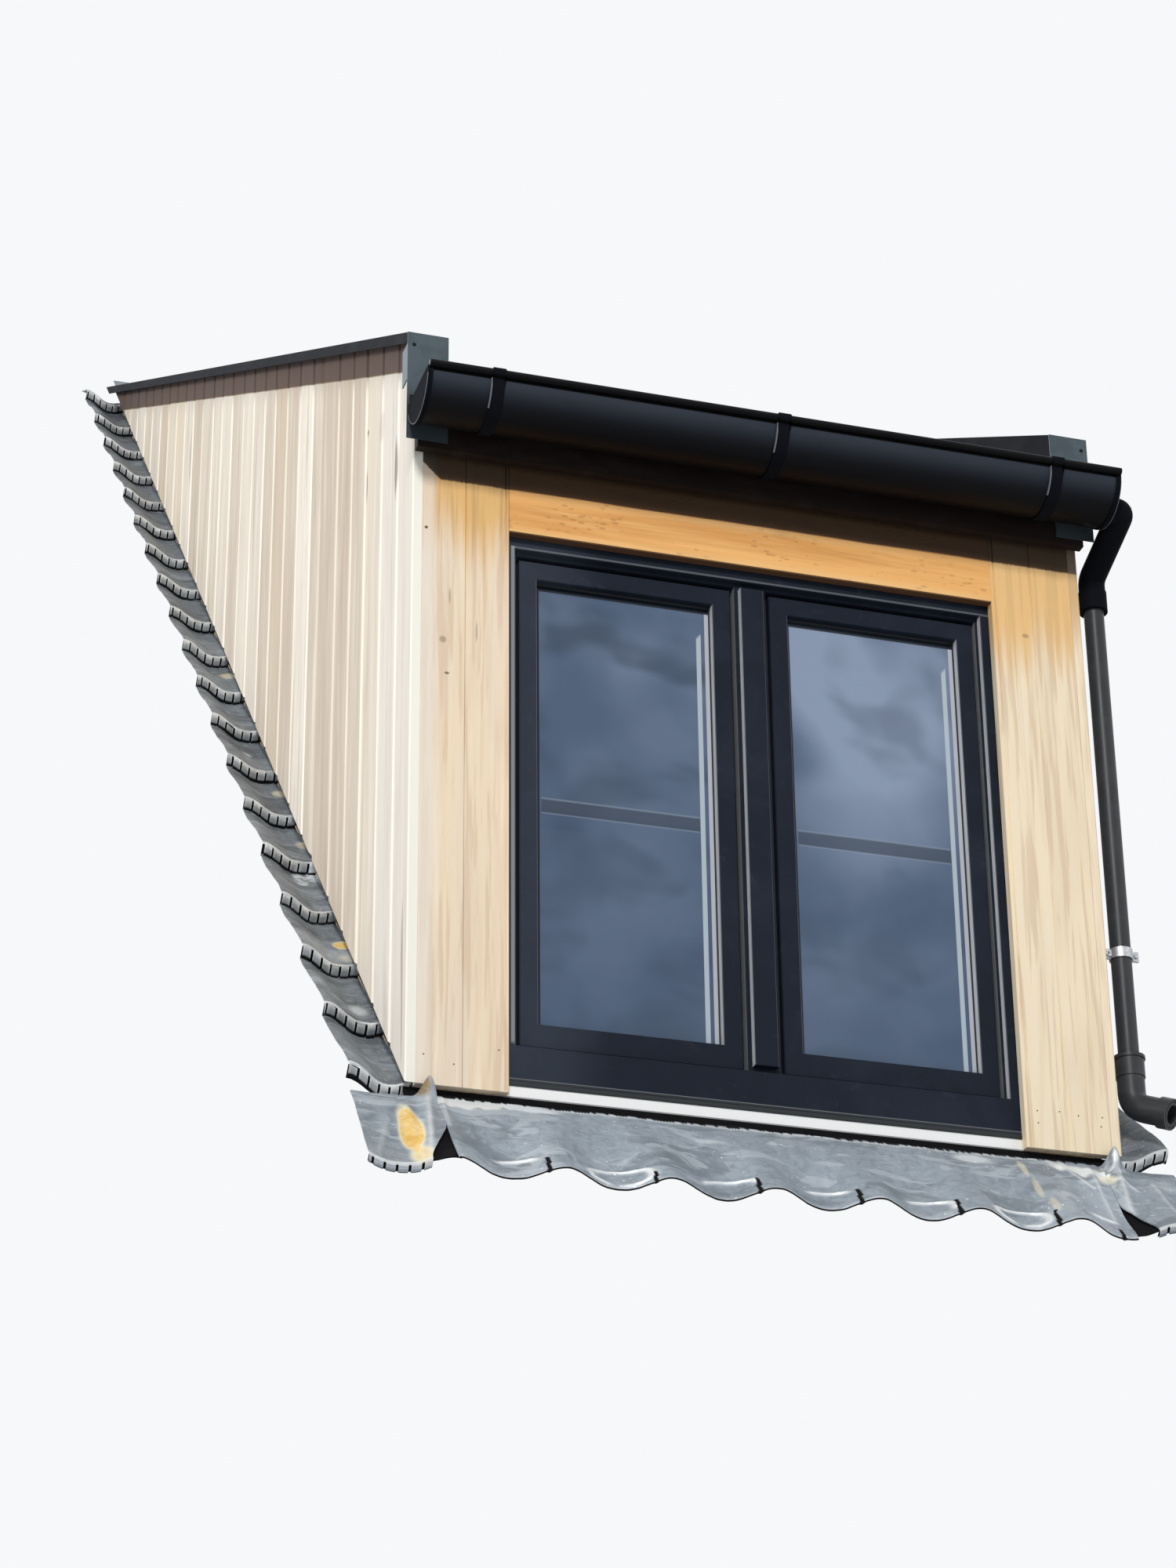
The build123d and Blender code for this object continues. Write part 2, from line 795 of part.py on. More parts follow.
def evenly(x0, x1, steps):
    """Positions from x0 to x1 in even steps."""
    return [x0 + (x1 - x0) * index / steps for index in range(steps + 1)]


def lead_sheet(rows):
    """Solid sheet of lead through rows of (x, run, depth), beaten in flat triangular facets."""
    top = [[slope_point(x, run, depth) for x, run, depth in row] for row in rows]
    under = [[slope_point(x, run, depth + lead) for x, run, depth in row] for row in rows]
    faces = []

    def face(*corners):
        faces.append(Face(Wire.make_polygon(corners, close=True)))

    for side in (top, under):
        for row, below in zip(side, side[1:]):
            for index in range(len(row) - 1):
                face(row[index], row[index + 1], below[index + 1])
                face(row[index], below[index + 1], below[index])
    for upper, lower in ((top[0], under[0]), (top[-1], under[-1])):
        for index in range(len(upper) - 1):
            face(upper[index], upper[index + 1], lower[index + 1], lower[index])
    for column in (0, -1):
        for index in range(len(rows) - 1):
            edge = top[index][column], top[index + 1][column]
            face(*edge, under[index + 1][column], under[index][column])
    return Solid(Shell(faces))


def apron_row(run, dressed):
    """Row of lead across the apron, flat where dressed is 0 and down in the pans at 1."""
    xs = evenly(-apron_half, apron_half, round(2 * apron_half / tile_cover * apron_facets))
    return [(x, run, crest_depth + (wave(x) - crest_depth) * dressed) for x in xs]


def apron_slits():
    """Short cuts up from the apron's lower edge, one beside each crest."""
    cuts = []
    first = int((-apron_half - tile_crest_x) / tile_cover)
    last = int((apron_half - tile_crest_x) / tile_cover) + 1
    for index in range(first, last + 1):
        x = tile_crest_x + index * tile_cover - slit_offset
        if abs(x) < apron_half - slit_offset:
            lower_edge = slope_point(x, apron_length, wave(x))
            across = Plane(origin=lower_edge, x_dir=(1, 0, 0), z_dir=(0, -main_slope, 1))
            cuts.append(across * Box(slit_width, 2 * slit_length, pan_depth))
    return cuts


def front_apron():
    """Lead apron: upstand behind the boards, shelf under the window and dressed slope."""
    drape = [(apron_shelf, 0.0), (apron_flat, 0.15), (apron_length - apron_lip, 1.0), (apron_length, 1.0)]
    slope = lead_sheet([apron_row(run, dressed) for run, dressed in drape])
    top_point = slope_point(0, apron_shelf, crest_depth)
    low_point = slope_point(0, apron_shelf, crest_depth + lead)
    y1 = front_y + cavity - fit
    shelf_z = foot_z - apron_tuck
    outline = [
        (top_point.Y, top_point.Z),
        (low_point.Y, low_point.Z),
        (y1 - lead, shelf_z - lead),
        (y1, shelf_z - lead),
        (y1, foot_z - apron_top_gap),
        (y1 - lead, foot_z - apron_top_gap),
        (y1 - lead, shelf_z),
    ]
    return slope - apron_slits() + side_prism(outline, -apron_half, apron_half)


def dished_row(run, lift, x0, x1):
    """Row of lead across a side flashing, down from the cladding's back into a pan and up again."""
    row = []
    for x in evenly(x0, x1, soaker_facets):
        share = (x - x0) / (x1 - x0)
        row.append((x, run, crest_depth + (pan_depth - crest_depth) * sin(pi * share) - lift))
    return row


def soaker(run, up):
    """One course of dressed lead: its head at up, its nose at run turned down on the course below."""
    return lead_sheet([
        dished_row(up, 0.0, soaker_x0, soaker_x1),
        dished_row(run - soaker_nose, soaker_step, soaker_x0, soaker_x1),
        dished_row(run + soaker_lap, lead + fit, soaker_x0, soaker_x1),
    ])


def soaker_upstand_strip():
    """Lead under the foot of a cheek's boards, turned up against the sheathing."""
    x0 = half_width - cavity + fit
    x1 = soaker_x0 + lead
    low = -(frame_line + board_thickness) / cos(radians(main_pitch))
    top_depth = crest_depth - soaker_upstand
    y_end = meet(rafter_top_rise, seat_depth - top_depth)
    high = -(y_end - front_y) / cos(radians(main_pitch)) + 2 * soaker_upstand

    def strip(depth0, depth1, xa, xb):
        corners = [(low, depth0), (high, depth0), (high, depth1), (low, depth1)]
        points = [slope_point(0, run, depth) for run, depth in corners]
        return side_prism([(point.Y, point.Z) for point in points], xa, xb)

    foot = strip(crest_depth - soaker_step, crest_depth + lead, x0, x1)
    return foot + strip(top_depth, crest_depth, x0, x0 + lead)


def side_flashing():
    """Lead soakers stepped up one cheek with the courses of tiles."""
    slope_length = (meet(0.0, seat_depth) - front_y) / cos(radians(main_pitch))
    courses = []
    run = 0.0
    while run > -slope_length:
        up = max(run - tile_gauge, -slope_length)
        courses.append(soaker(run, up))
        run -= tile_gauge
    return Part() + courses + soaker_upstand_strip()


def corner_flashing():
    """Lead at one front corner, its lower half cut away from the apron to sit in the pan."""
    x0 = apron_half + fit
    return lead_sheet([
        dished_row(soaker_lap + fit, 0.0, x0, soaker_x1),
        dished_row(corner_split, soaker_step / 2, x0, soaker_x1),
        dished_row(apron_length - soaker_nose, soaker_step, x0 + corner_gap, soaker_x1),
        dished_row(apron_length + soaker_lap, lead + fit, x0 + corner_gap, soaker_x1),
    ])


def top_flashing():
    """Lead sheet on the main roof above the dormer's apex."""
    rise = deck_top_rise + membrane_thickness * dormer_lift
    d0 = seat_depth - top_flashing_drop
    y0 = meet(rise, d0) + lead
    y1 = y0 + top_flashing_length * cos(radians(main_pitch))
    outline = [
        (y0, main_roof(y0, d0)),
        (y1, main_roof(y1, d0)),
        (y1, main_roof(y1, d0 + lead)),
        (y0, main_roof(y0, d0 + lead)),
    ]
    return side_prism(outline, -deck_half, deck_half)


def build():
    """Write every node."""
    os.makedirs("parts", exist_ok=True)
    save("front_sill_beam", front_sill_beam())
    save_pair("sole_plates", sole_plate())
    save_pair("front_posts", front_post())
    save("header_beam", header_beam())
    both_sides("cheek_studs", *cheek_studs())
    save("roof_rafters", *roof_rafters())
    save("lay_board", lay_board())
    save("roof_deck", roof_deck())
    save("roof_membrane", roof_membrane())
    save_pair("verge_kerbs", verge_kerb())
    both_sides("verge_trim", verge_trim())
    both_sides("verge_end_plate", verge_end_plate())
    both_sides("cheek_sheathing", cheek_sheathing())
    both_sides("cheek_lining", cheek_lining())
    both_sides("battens", front_battens(), *cheek_battens())
    both_sides("cheek_cladding", cheek_cladding())
    both_sides("front_boards", *front_boards())
    save("front_sheathing", *front_sheathing())
    save("lintel_board", lintel_board())
    save("window_frame", window_frame())
    save("window_mullion", mullion())
    right0 = mullion_base / 2 + sash_gap
    right1 = half_light - sash_gap
    both_sides("sash", sash(right0, right1))
    both_sides("glass", glass(right0, right1))
    save_pair("glazing_bars", glazing_bar(right0, right1))
    save("sub_sill", sub_sill())
    save("fascia_board", fascia_board())
    save("gutter", gutter())
    save_pair("gutter_ends", stop_end())
    save("gutter_brackets", *gutter_brackets())
    save("downpipe_neck", downpipe_neck())
    save("downpipe", downpipe())
    save("downpipe_shoe", downpipe_shoe())
    save("downpipe_clamp", downpipe_clamp())
    save("front_apron", front_apron())
    both_sides("side_flashing", side_flashing())
    both_sides("corner_flashing", corner_flashing())
    save("top_flashing", top_flashing())


build()
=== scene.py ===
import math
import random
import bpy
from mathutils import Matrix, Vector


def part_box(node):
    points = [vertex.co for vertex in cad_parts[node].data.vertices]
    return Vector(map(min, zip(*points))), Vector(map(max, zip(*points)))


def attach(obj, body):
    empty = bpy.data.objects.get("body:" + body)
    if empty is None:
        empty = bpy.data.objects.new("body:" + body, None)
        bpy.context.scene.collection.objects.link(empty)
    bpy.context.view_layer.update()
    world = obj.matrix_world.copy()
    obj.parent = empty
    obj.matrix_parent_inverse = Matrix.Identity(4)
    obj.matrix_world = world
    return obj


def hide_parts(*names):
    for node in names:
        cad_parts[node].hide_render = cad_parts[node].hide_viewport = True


bl_info = {
    "name": "Dormer Window",
    "version": (1, 0, 0),
    "blender": (4, 5, 0),
    "location": "View3D > Sidebar > Dormer",
    "description": "Dresses the packed dormer window with boards, window, gutter, downpipe and lead",
    "category": "Object",
}

import bmesh
import bpy
from bpy.props import FloatProperty, FloatVectorProperty, IntProperty, PointerProperty
from mathutils import Matrix, Vector, noise

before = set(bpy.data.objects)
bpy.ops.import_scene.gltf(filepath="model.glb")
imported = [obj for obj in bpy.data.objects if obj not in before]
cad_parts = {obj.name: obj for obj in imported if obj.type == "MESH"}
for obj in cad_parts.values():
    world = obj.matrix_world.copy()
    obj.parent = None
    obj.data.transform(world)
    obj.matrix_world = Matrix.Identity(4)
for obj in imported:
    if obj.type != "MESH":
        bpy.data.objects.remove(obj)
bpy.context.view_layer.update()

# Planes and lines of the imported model, in metres
clad_low, clad_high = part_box("right_cheek_cladding")
board_low, board_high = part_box("right_front_boards")
frame_low, frame_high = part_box("window_frame")
sash_low, sash_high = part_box("right_sash")
glass_low, glass_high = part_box("right_glass")
mullion_low, mullion_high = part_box("window_mullion")
gutter_low, gutter_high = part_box("gutter")
apron_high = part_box("front_apron")[1]
pipe_low, pipe_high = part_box("downpipe")
clamp_low, clamp_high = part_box("downpipe_clamp")
membrane_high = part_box("roof_membrane")[1]
lintel_low, lintel_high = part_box("lintel_board")

FRONT_Y = clad_low.y
FOOT_Z = clad_low.z
HALF_WIDTH = clad_high.x
MAIN_PITCH = math.radians(45)
DORMER_PITCH = math.radians(30)
clad_top_line = clad_high.z - clad_high.y * math.tan(DORMER_PITCH)
SIDES = ((-1, "left"), (1, "right"))
FULL_TURN = 2 * math.pi

# Window lines seen in the photograph: frame nib, ledge behind it, mullion, sash and its light
NIB_X, NIB_Z0, NIB_Z1 = 0.5215, 0.176, 1.2915
LEDGE_X, LEDGE_Z0, LEDGE_Z1 = 0.5155, 0.1785, 1.2845
POST_FACE, POST_LEDGE = 0.0254, 0.0345
SASH_RECT = (0.0437, 0.5080, 0.1815, 1.2750)
SASH_LIGHT = (0.0842, 0.4700, 0.2320, 1.2345)
GLASS_Y = glass_low.y + 0.008
BAR_LOW, BAR_HIGH = 0.7060, 0.7385
sash_light_x0, sash_light_x1, _, sash_light_z1 = SASH_LIGHT

# The gutter's axis and radius, and the middle and radius of its rolled front
GUTTER_RADIUS = 0.080
GUTTER_Y, GUTTER_Z = gutter_high.y - GUTTER_RADIUS, gutter_low.z + GUTTER_RADIUS
ROLL_Y, ROLL_Z, ROLL_RADIUS = GUTTER_Y - GUTTER_RADIUS - 0.0055, GUTTER_Z + 0.002, 0.0085

# Foot of the gutter's shadow painted on the boards and lintel, and the line of the trims' drip edge carried
# to y = 0, where a highlight is painted
GUTTER_SHADOW_Z = 1.4145
TRIM_FOOT = 1.7609

# Tones of the foremost cheek boards, the joint with a wide bevel, and dark marks on the boards
# (centre, half sizes, strength)
CHEEK_TONES = (0.10, 0.22, 0.28, 0.72, 0.95, 0.80, 0.62, 0.02, 0.78, 0.82, 0.60, 0.45)
WIDE_BEVEL = 6
CHEEK_MARKS = (
    ((-0.75, 0.302, 1.622), (0.02, 0.012, 0.055), 0.75), ((-0.75, 0.040, 1.520), (0.02, 0.014, 0.095), 0.70),
    ((-0.75, 0.2985, 1.757), (0.02, 0.012, 0.010), 0.85), ((-0.75, 0.17, 1.70), (0.02, 0.030, 0.05), 0.18),
)
BOARD_MARKS = (
    ((-0.7191, -0.1045, 1.2976), (0.0048, 0.01, 0.0048), 1.0),
    ((-0.6817, -0.1045, 1.0398), (0.010, 0.01, 0.010), 0.45),
    ((-0.6729, -0.1045, 0.9633), (0.007, 0.01, 0.004), 0.80),
    ((-0.6676, -0.1045, 1.1425), (0.003, 0.01, 0.022), 0.35),
    ((-0.6106, -0.1045, 1.0670), (0.003, 0.01, 0.030), 0.40),
    ((0.6152, -0.1045, 1.2446), (0.010, 0.01, 0.007), 0.45),
)

# Stains on the lead: centre, half width, reach up and down, strength
STAINS = (
    ((-0.757, -0.190, -0.075), 0.030, 0.075, 1.5), ((-0.764, -0.155, -0.040), 0.022, 0.050, 0.8),
    ((-0.750, -0.250, -0.135), 0.030, 0.040, 0.7), ((0.511, -0.140, 0.000), 0.009, 0.045, 0.42),
    ((0.521, -0.190, -0.050), 0.010, 0.045, 0.38), ((0.534, -0.238, -0.098), 0.011, 0.036, 0.32),
    ((0.690, -0.150, -0.010), 0.030, 0.020, 0.45), ((-0.746, 0.462, 0.574), 0.028, 0.042, 1.5),
    ((-0.752, 0.395, 0.508), 0.034, 0.040, 0.42), ((-0.741, 1.150, 1.268), 0.024, 0.045, 0.45),
    ((-0.741, 0.885, 1.005), 0.024, 0.050, 0.40), ((-0.747, 1.797, 1.910), 0.030, 0.050, 0.5),
)

# Pale patches on the lead: centre, half sizes, strength
BLOOMS = (
    ((-0.772, 0.763, 0.876), (0.022, 0.060, 0.060), 0.8),
    ((-0.742, 0.775, 0.890), (0.018, 0.045, 0.045), 0.8),
    ((-0.790, 1.330, 1.443), (0.020, 0.040, 0.040), 0.5),
    ((-0.775, 0.200, 0.313), (0.030, 0.050, 0.050), 0.5),
    ((-0.620, -0.106, 0.036), (0.085, 0.026, 0.022), 1.0),
    ((-0.500, -0.112, 0.026), (0.080, 0.016, 0.016), 0.8),
    ((-0.574, -0.291, -0.164), (0.036, 0.018, 0.020), 0.9),
    ((-0.169, -0.293, -0.166), (0.032, 0.014, 0.016), 0.8),
    ((0.025, -0.294, -0.167), (0.036, 0.013, 0.015), 0.8),
    ((0.273, -0.275, -0.148), (0.036, 0.022, 0.022), 0.6),
    ((0.459, -0.276, -0.149), (0.046, 0.020, 0.020), 0.45),
    ((-0.368, -0.281, -0.154), (0.046, 0.020, 0.020), 0.4),
    ((0.410, -0.122, 0.018), (0.055, 0.026, 0.026), 0.7),
    ((0.650, -0.122, 0.008), (0.050, 0.026, 0.026), 0.7),
    ((-0.018, -0.134, -0.007), (0.018, 0.016, 0.016), 0.9),
    ((-0.150, -0.150, -0.020), (0.060, 0.014, 0.014), 0.5),
)

# Front lead, as x and run down the slope from the front: the apron's top and reach, the corners' reach,
# creases (x0, run0, x1, run1, rise, width, shine, a painted highlight on the crease's back), pressed ridges
# (middle, half width, start, sweep) about one level, their lit arcs painted bright, snips (middle, start),
# painted black as shade, and the folded peaks of the corners
APRON_TOP = 0.018
APRON_REACH = 0.286
CORNER_REACH = 0.272
RIDGE_RUN = 0.250
LEAD_OUTER = HALF_WIDTH + 0.107
LEAD_FOLDS = (
    (-0.703, -0.01, -0.738, 0.272, 0.010, 0.013, 0.5), (-0.756, 0.085, -0.746, 0.230, 0.006, 0.011, 0.0),
    (-0.678, 0.030, -0.684, 0.150, 0.006, 0.008, 0.3), (-0.800, 0.110, -0.835, 0.250, 0.005, 0.010, 0.2),
    (0.725, -0.01, 0.700, 0.262, 0.012, 0.014, 0.5), (0.659, 0.050, 0.664, 0.215, 0.007, 0.010, 0.4),
    (0.600, 0.045, 0.650, 0.120, 0.005, 0.008, 0.7), (0.782, 0.080, 0.800, 0.250, 0.006, 0.012, 0.3),
    (0.690, 0.060, 0.740, 0.110, 0.006, 0.007, 0.7), (0.520, 0.050, 0.500, 0.200, 0.003, 0.012, 0.0),
)
LEAD_RINGS = (
    (-0.562, 0.045, 0.6, 2.0), (-0.3645, 0.0595, -1.75, FULL_TURN - 0.02), (-0.144, 0.052, 0.0, 2.9),
    (0.054, 0.050, 0.5, 2.0), (0.259, 0.052, -0.6, 3.0), (0.455, 0.054, -1.75, FULL_TURN - 0.02),
    (0.633, 0.045, 0.7, 1.6),
)
LEAD_SLITS = (
    (-0.508, 0.232), (-0.300, 0.250), (-0.090, 0.225), (0.115, 0.230), (0.320, 0.226), (0.527, 0.230),
    (0.664, 0.252),
)
LEAD_PEAKS = {-1: -0.703, 1: 0.725}

# Where the front lead turns up under the boards, as (y, z); the mark that paints lead black as shade; the
# thickness of the sheets behind the noses, painted black as shade
SHELF_FRONT, SHELF_BACK = (FRONT_Y + 0.020, FOOT_Z - 0.014), (FRONT_Y + 0.0225, FOOT_Z - 0.0022)
PAINTED_SHADE_MARK = -1.6
BEHIND_THICK = 0.0012


def cheek_foot(y):
    """Height of a cheek's lower edge at y."""
    return clad_high.z - (clad_high.y - y) * math.tan(MAIN_PITCH)


def cheek_top(y):
    """Height of a cheek's upper edge at y."""
    return clad_high.z - (clad_high.y - y) * math.tan(DORMER_PITCH)


def on_slope(x, run, depth):
    """Point over the tiles: run down the slope from the front, depth below the cladding's foot."""
    s, c = math.sin(MAIN_PITCH), math.cos(MAIN_PITCH)
    return Vector((x, FRONT_Y - run * c + depth * s, FOOT_Z - run * s - depth * c))


# Sizes and colours that a user would change

def length(name, default, text, least=0.0):
    """Property of a length in metres."""
    return FloatProperty(name=name, description=text, default=default, min=least, unit="LENGTH", precision=4)


def power(name, default, text):
    """Property of a light's strength."""
    return FloatProperty(name=name, description=text, default=default, min=0.0)


def colour(name, default, text):
    """Property of a linear colour."""
    return FloatVectorProperty(
        name=name, description=text, default=default, size=3, min=0.0, max=1.0, subtype="COLOR"
    )


class DORMER_PG_boards(bpy.types.PropertyGroup):
    """Boards of the cheeks and the front"""

    first: length("First board", 0.118, "Width of the cheek board at the front corner")
    pitch: length("Pitch", 0.141, "Distance from one cheek board to the next")
    uneven: length("Unevenness", 0.016, "How much the boards' widths differ")
    channel: length("Channel", 0.014, "Width of the channel at a board's front edge")
    channel_depth: length("Channel depth", 0.007, "Depth of the channel")
    thickness: length("Thickness", 0.022, "Thickness of the boards")
    seed: IntProperty(name="Seed", description="Order of the board widths", default=11, min=0)
    pale: colour("Pale boards", (0.95, 0.885, 0.775), "Cheek boards at their palest")
    pink: colour("Beige boards", (0.66, 0.555, 0.445), "Cheek boards at their darkest")
    # Painted highlight: the tone of board edges lit by the sun
    sunlit_edge_tone: colour("Board edges", (0.98, 0.95, 0.84), "Edges that face the sun")
    honey: colour("Honey boards", (0.87, 0.735, 0.575), "Front boards where the sun has bleached them")
    streak: colour("Grain streaks", (0.72, 0.54, 0.37), "Darker grain of the front boards")
    amber: colour("Amber boards", (0.80, 0.475, 0.165), "Front boards sheltered by the gutter")
    lintel: colour("Lintel", (0.93, 0.49, 0.165), "Plank over the window")


class DORMER_PG_window(bpy.types.PropertyGroup):
    """Window profiles, glass and bars"""

    profile: colour("Profiles", (0.012, 0.016, 0.026), "Dark foil of the outer profiles")
    shine: colour("Lit walls", (0.66, 0.68, 0.71), "Side walls that catch the sun")
    inner: colour("Room side", (0.82, 0.83, 0.84), "White room side of the profiles")
    # The panes' tones are a painted reflection of a cloudy sky
    tint: colour("Glass", (0.074, 0.118, 0.198), "Tone of the panes")
    cloud: colour("Glass, lighter", (0.28, 0.355, 0.485), "Lighter patches of the panes")
    rebate: length("Rebate", 0.016, "Depth of the step round the sashes")
    pane: length("Pane", 0.004, "Thickness of one pane")
    spacer: length("Spacer", 0.009, "Sight width of the spacer bar")


class DORMER_PG_lead(bpy.types.PropertyGroup):
    """Lead flashings over the tiles"""

    sheet: length("Sheet", 0.003, "Thickness of the lead")
    cover: length("Tile cover", 0.209, "Distance from one tile crest to the next")
    gauge: length("Tile gauge", 0.305, "Distance from one course of tiles to the next")
    crest_x: FloatProperty(
        name="Crest", description="Place of one tile crest along the front", default=-0.062, unit="LENGTH"
    )
    crest: length("Crest depth", 0.018, "Depth of the lead on a crest below the cladding's foot")
    pan: length("Pan depth", 0.050, "Depth of the lead in a pan below the cladding's foot")
    dent: length("Dents", 0.0016, "Height of the hammered dents")
    grey: colour("Grey", (0.215, 0.240, 0.262), "Lead of the side flashings")
    apron: colour("Apron", (0.345, 0.395, 0.445), "Lead of the apron, lighter in the open")
    bright: colour("Bloom", (0.53, 0.58, 0.63), "White bloom and scratches")
    # Mostly painted highlights on bends, ridges and crease backs, partly rubbed edges; also the pale spots of
    # bloom
    worn_and_lit: colour("Worn edges", (0.93, 0.95, 0.95), "Lead rubbed bright at its edges and rings")
    stain: colour("Stain", (0.80, 0.48, 0.10), "Yellow stain at the corners")


class DORMER_PG_eaves(bpy.types.PropertyGroup):
    """Gutter, downpipe, trims and roof sheet"""

    black: colour("Black", (0.005, 0.006, 0.009), "Gutter and brackets")
    fascia: colour("Fascia", (0.014, 0.009, 0.007), "Fascia in the gutter's shade")
    trim: colour("Trim", (0.012, 0.014, 0.018), "Verge trims")
    plate: colour("End plates", (0.094, 0.122, 0.140), "Plates at the ends of the verges")
    pipe: colour("Downpipe", (0.030, 0.032, 0.036), "Downpipe and fittings")
    sheet: colour("Roof sheet", (0.030, 0.031, 0.034), "Rubber sheet on the roof")
    wall: length("Wall", 0.003, "Wall of the gutter")
    strap: length("Strap", 0.027, "Width of a gutter bracket")
    strap_spacing: length("Strap spacing", 0.622, "Distance between gutter brackets")


class DORMER_PG_stage(bpy.types.PropertyGroup):
    """Floor, light and camera"""

    floor_z: FloatProperty(name="Floor", description="Height of the floor", default=-4.2, unit="LENGTH")
    key: power("Key light", 655.0, "Strength of the light from the front")
    side: power("Side light", 680.0, "Strength of the light on the cheek")
    fill: power("Fill light", 150.0, "Strength of the fill light")
    sky: power("Sky", 0.31, "Strength of the world")


# Shader maths

class Value:
    """A number from a node: arithmetic on it adds Math nodes to its finish."""

    def __init__(self, finish, socket):
        self.finish = finish
        self.socket = socket

    def math(self, operation, *others, clamp=False):
        inputs = {index: value for index, value in enumerate((self,) + others)}
        return self.finish.node("Math", {"operation": operation, "use_clamp": clamp}, inputs)

    def __add__(self, other):
        return self.math("ADD", other)

    __radd__ = __add__

    def __sub__(self, other):
        return self.math("SUBTRACT", other)

    def __rsub__(self, other):
        return self.finish.node("Math", {"operation": "SUBTRACT"}, {0: other, 1: self})

    def __mul__(self, other):
        return self.math("MULTIPLY", other)

    __rmul__ = __mul__

    def __pow__(self, other):
        return self.math("POWER", other)

    def clamped(self):
        return self.math("ADD", 0.0, clamp=True)

    def between(self, low, high):
        """0 below low, 1 above high, smooth between."""
        settings = {"interpolation_type": "SMOOTHSTEP", "clamp": True}
        return self.finish.node("MapRange", settings, {"Value": self, "From Min": low, "From Max": high})

    def below(self, low, high):
        """1 below low, 0 above high, smooth between."""
        return 1.0 - self.between(low, high)

    def facing(self, low=0.6, high=0.9):
        """1 where a number of the normal is large either way."""
        return self.math("ABSOLUTE").between(low, high)


class Finish:
    """One material under construction."""

    def __init__(self, name):
        self.material = bpy.data.materials.new(name)
        self.material.use_nodes = True
        self.tree = self.material.node_tree
        self.shader = self.tree.nodes["Principled BSDF"]
        self.place = self.node("TexCoord", output="Object")

    def node(self, kind, settings=None, inputs=None, output=0):
        """Adds one node, its settings before its inputs, and returns one output."""
        made = self.tree.nodes.new("ShaderNode" + kind)
        for name, value in (settings or {}).items():
            setattr(made, name, value)
        for key, value in (inputs or {}).items():
            if isinstance(value, Value):
                self.tree.links.new(value.socket, made.inputs[key])
            else:
                made.inputs[key].default_value = value
        return Value(self, made.outputs[output])

    def vector(self, operation, *values):
        inputs = {index: value for index, value in enumerate(values)}
        return self.node("VectorMath", {"operation": operation}, inputs)

    def stretched(self, scale, source=None):
        """Coordinates scaled by axis."""
        return self.vector("MULTIPLY", source or self.place, scale)

    def noise(self, source, scale, detail=2.0, rough=0.5, twist=0.0):
        inputs = {"Vector": source, "Scale": scale, "Detail": detail, "Roughness": rough, "Distortion": twist}
        return self.node("TexNoise", inputs=inputs, output="Fac")

    def cells(self, source, scale, output="Distance"):
        return self.node("TexVoronoi", {"feature": "F1"}, {"Vector": source, "Scale": scale}, output)

    def split(self, source):
        """The three numbers of a vector."""
        made = self.node("SeparateXYZ", inputs={0: source}).socket.node
        return [Value(self, socket) for socket in made.outputs]

    def normal(self):
        """The three numbers of the surface's normal."""
        return self.split(self.node("NewGeometry", output="Normal"))

    def joined(self, x, y, z):
        return self.node("CombineXYZ", inputs={0: x, 1: y, 2: z})

    def attribute(self, name):
        return self.node("Attribute", {"attribute_name": name}, output="Fac")

    def mix(self, factor, a, b):
        """Colour from a to b."""
        settings = {"data_type": "RGBA", "blend_type": "MIX", "clamp_factor": True}
        tones = [tone if isinstance(tone, Value) else (*tone[:3], 1.0) for tone in (a, b)]
        return self.node("Mix", settings, {0: factor, 6: tones[0], 7: tones[1]}, 2)

    def spot(self, centre, sizes):
        """1 in the middle of an ellipsoid, fading to 0 at its edge."""
        moved = self.vector("SUBTRACT", self.place, centre)
        scaled = self.vector("MULTIPLY", moved, [1.0 / size for size in sizes])
        return 1.0 - self.node("VectorMath", {"operation": "LENGTH"}, {0: scaled}, "Value").between(0.45, 1.0)

    def spots(self, marks):
        """Spots (centre, sizes, strength) added up."""
        total = 0.0
        for centre, sizes, strength in marks:
            total = total + self.spot(centre, sizes) * strength
        return total

    def near(self, centre, reach):
        """1 at a point, fading to 0 at reach from it."""
        apart = self.node("VectorMath", {"operation": "DISTANCE"}, {0: self.place, 1: centre}, "Value")
        return 1.0 - apart.between(reach * 0.35, reach)

    def set(self, **values):
        """Links or sets the shader's own sockets, named with _ for a space."""
        for name, value in values.items():
            socket = self.shader.inputs[name.replace("_", " ")]
            if isinstance(value, Value):
                self.tree.links.new(value.socket, socket)
            else:
                socket.default_value = value

    def bump(self, height, distance, strength=1.0):
        inputs = {"Height": height, "Distance": distance, "Strength": strength}
        self.set(Normal=self.node("Bump", inputs=inputs, output="Normal"))


# Finishes

GRAIN = {"X": (0.045, 1.0, 1.0), "Y": (1.0, 0.045, 1.0), "Z": (1.0, 1.0, 0.045)}
# Colours of the gutter's painted shadow: brown along its foot, black above
GUTTER_SHADOW_BROWN, GUTTER_SHADOW_BLACK = (0.050, 0.024, 0.011), (0.014, 0.008, 0.006)


def shaded(tone, by, plus=0.0):
    """Colour times a number, or times one for each channel."""
    factors = by if isinstance(by, tuple) else (by,) * 3
    return [v * w + plus for v, w in zip(tone, factors)]


def board_grain(f, along):
    """Each board's own tone, coordinates moved by it, and these stretched along the grain."""
    board = f.attribute("tone")
    moved = f.vector("ADD", f.place, f.joined(board * 7.3, board * 5.1, board * 3.7))
    return board, moved, f.stretched(GRAIN[along], moved)


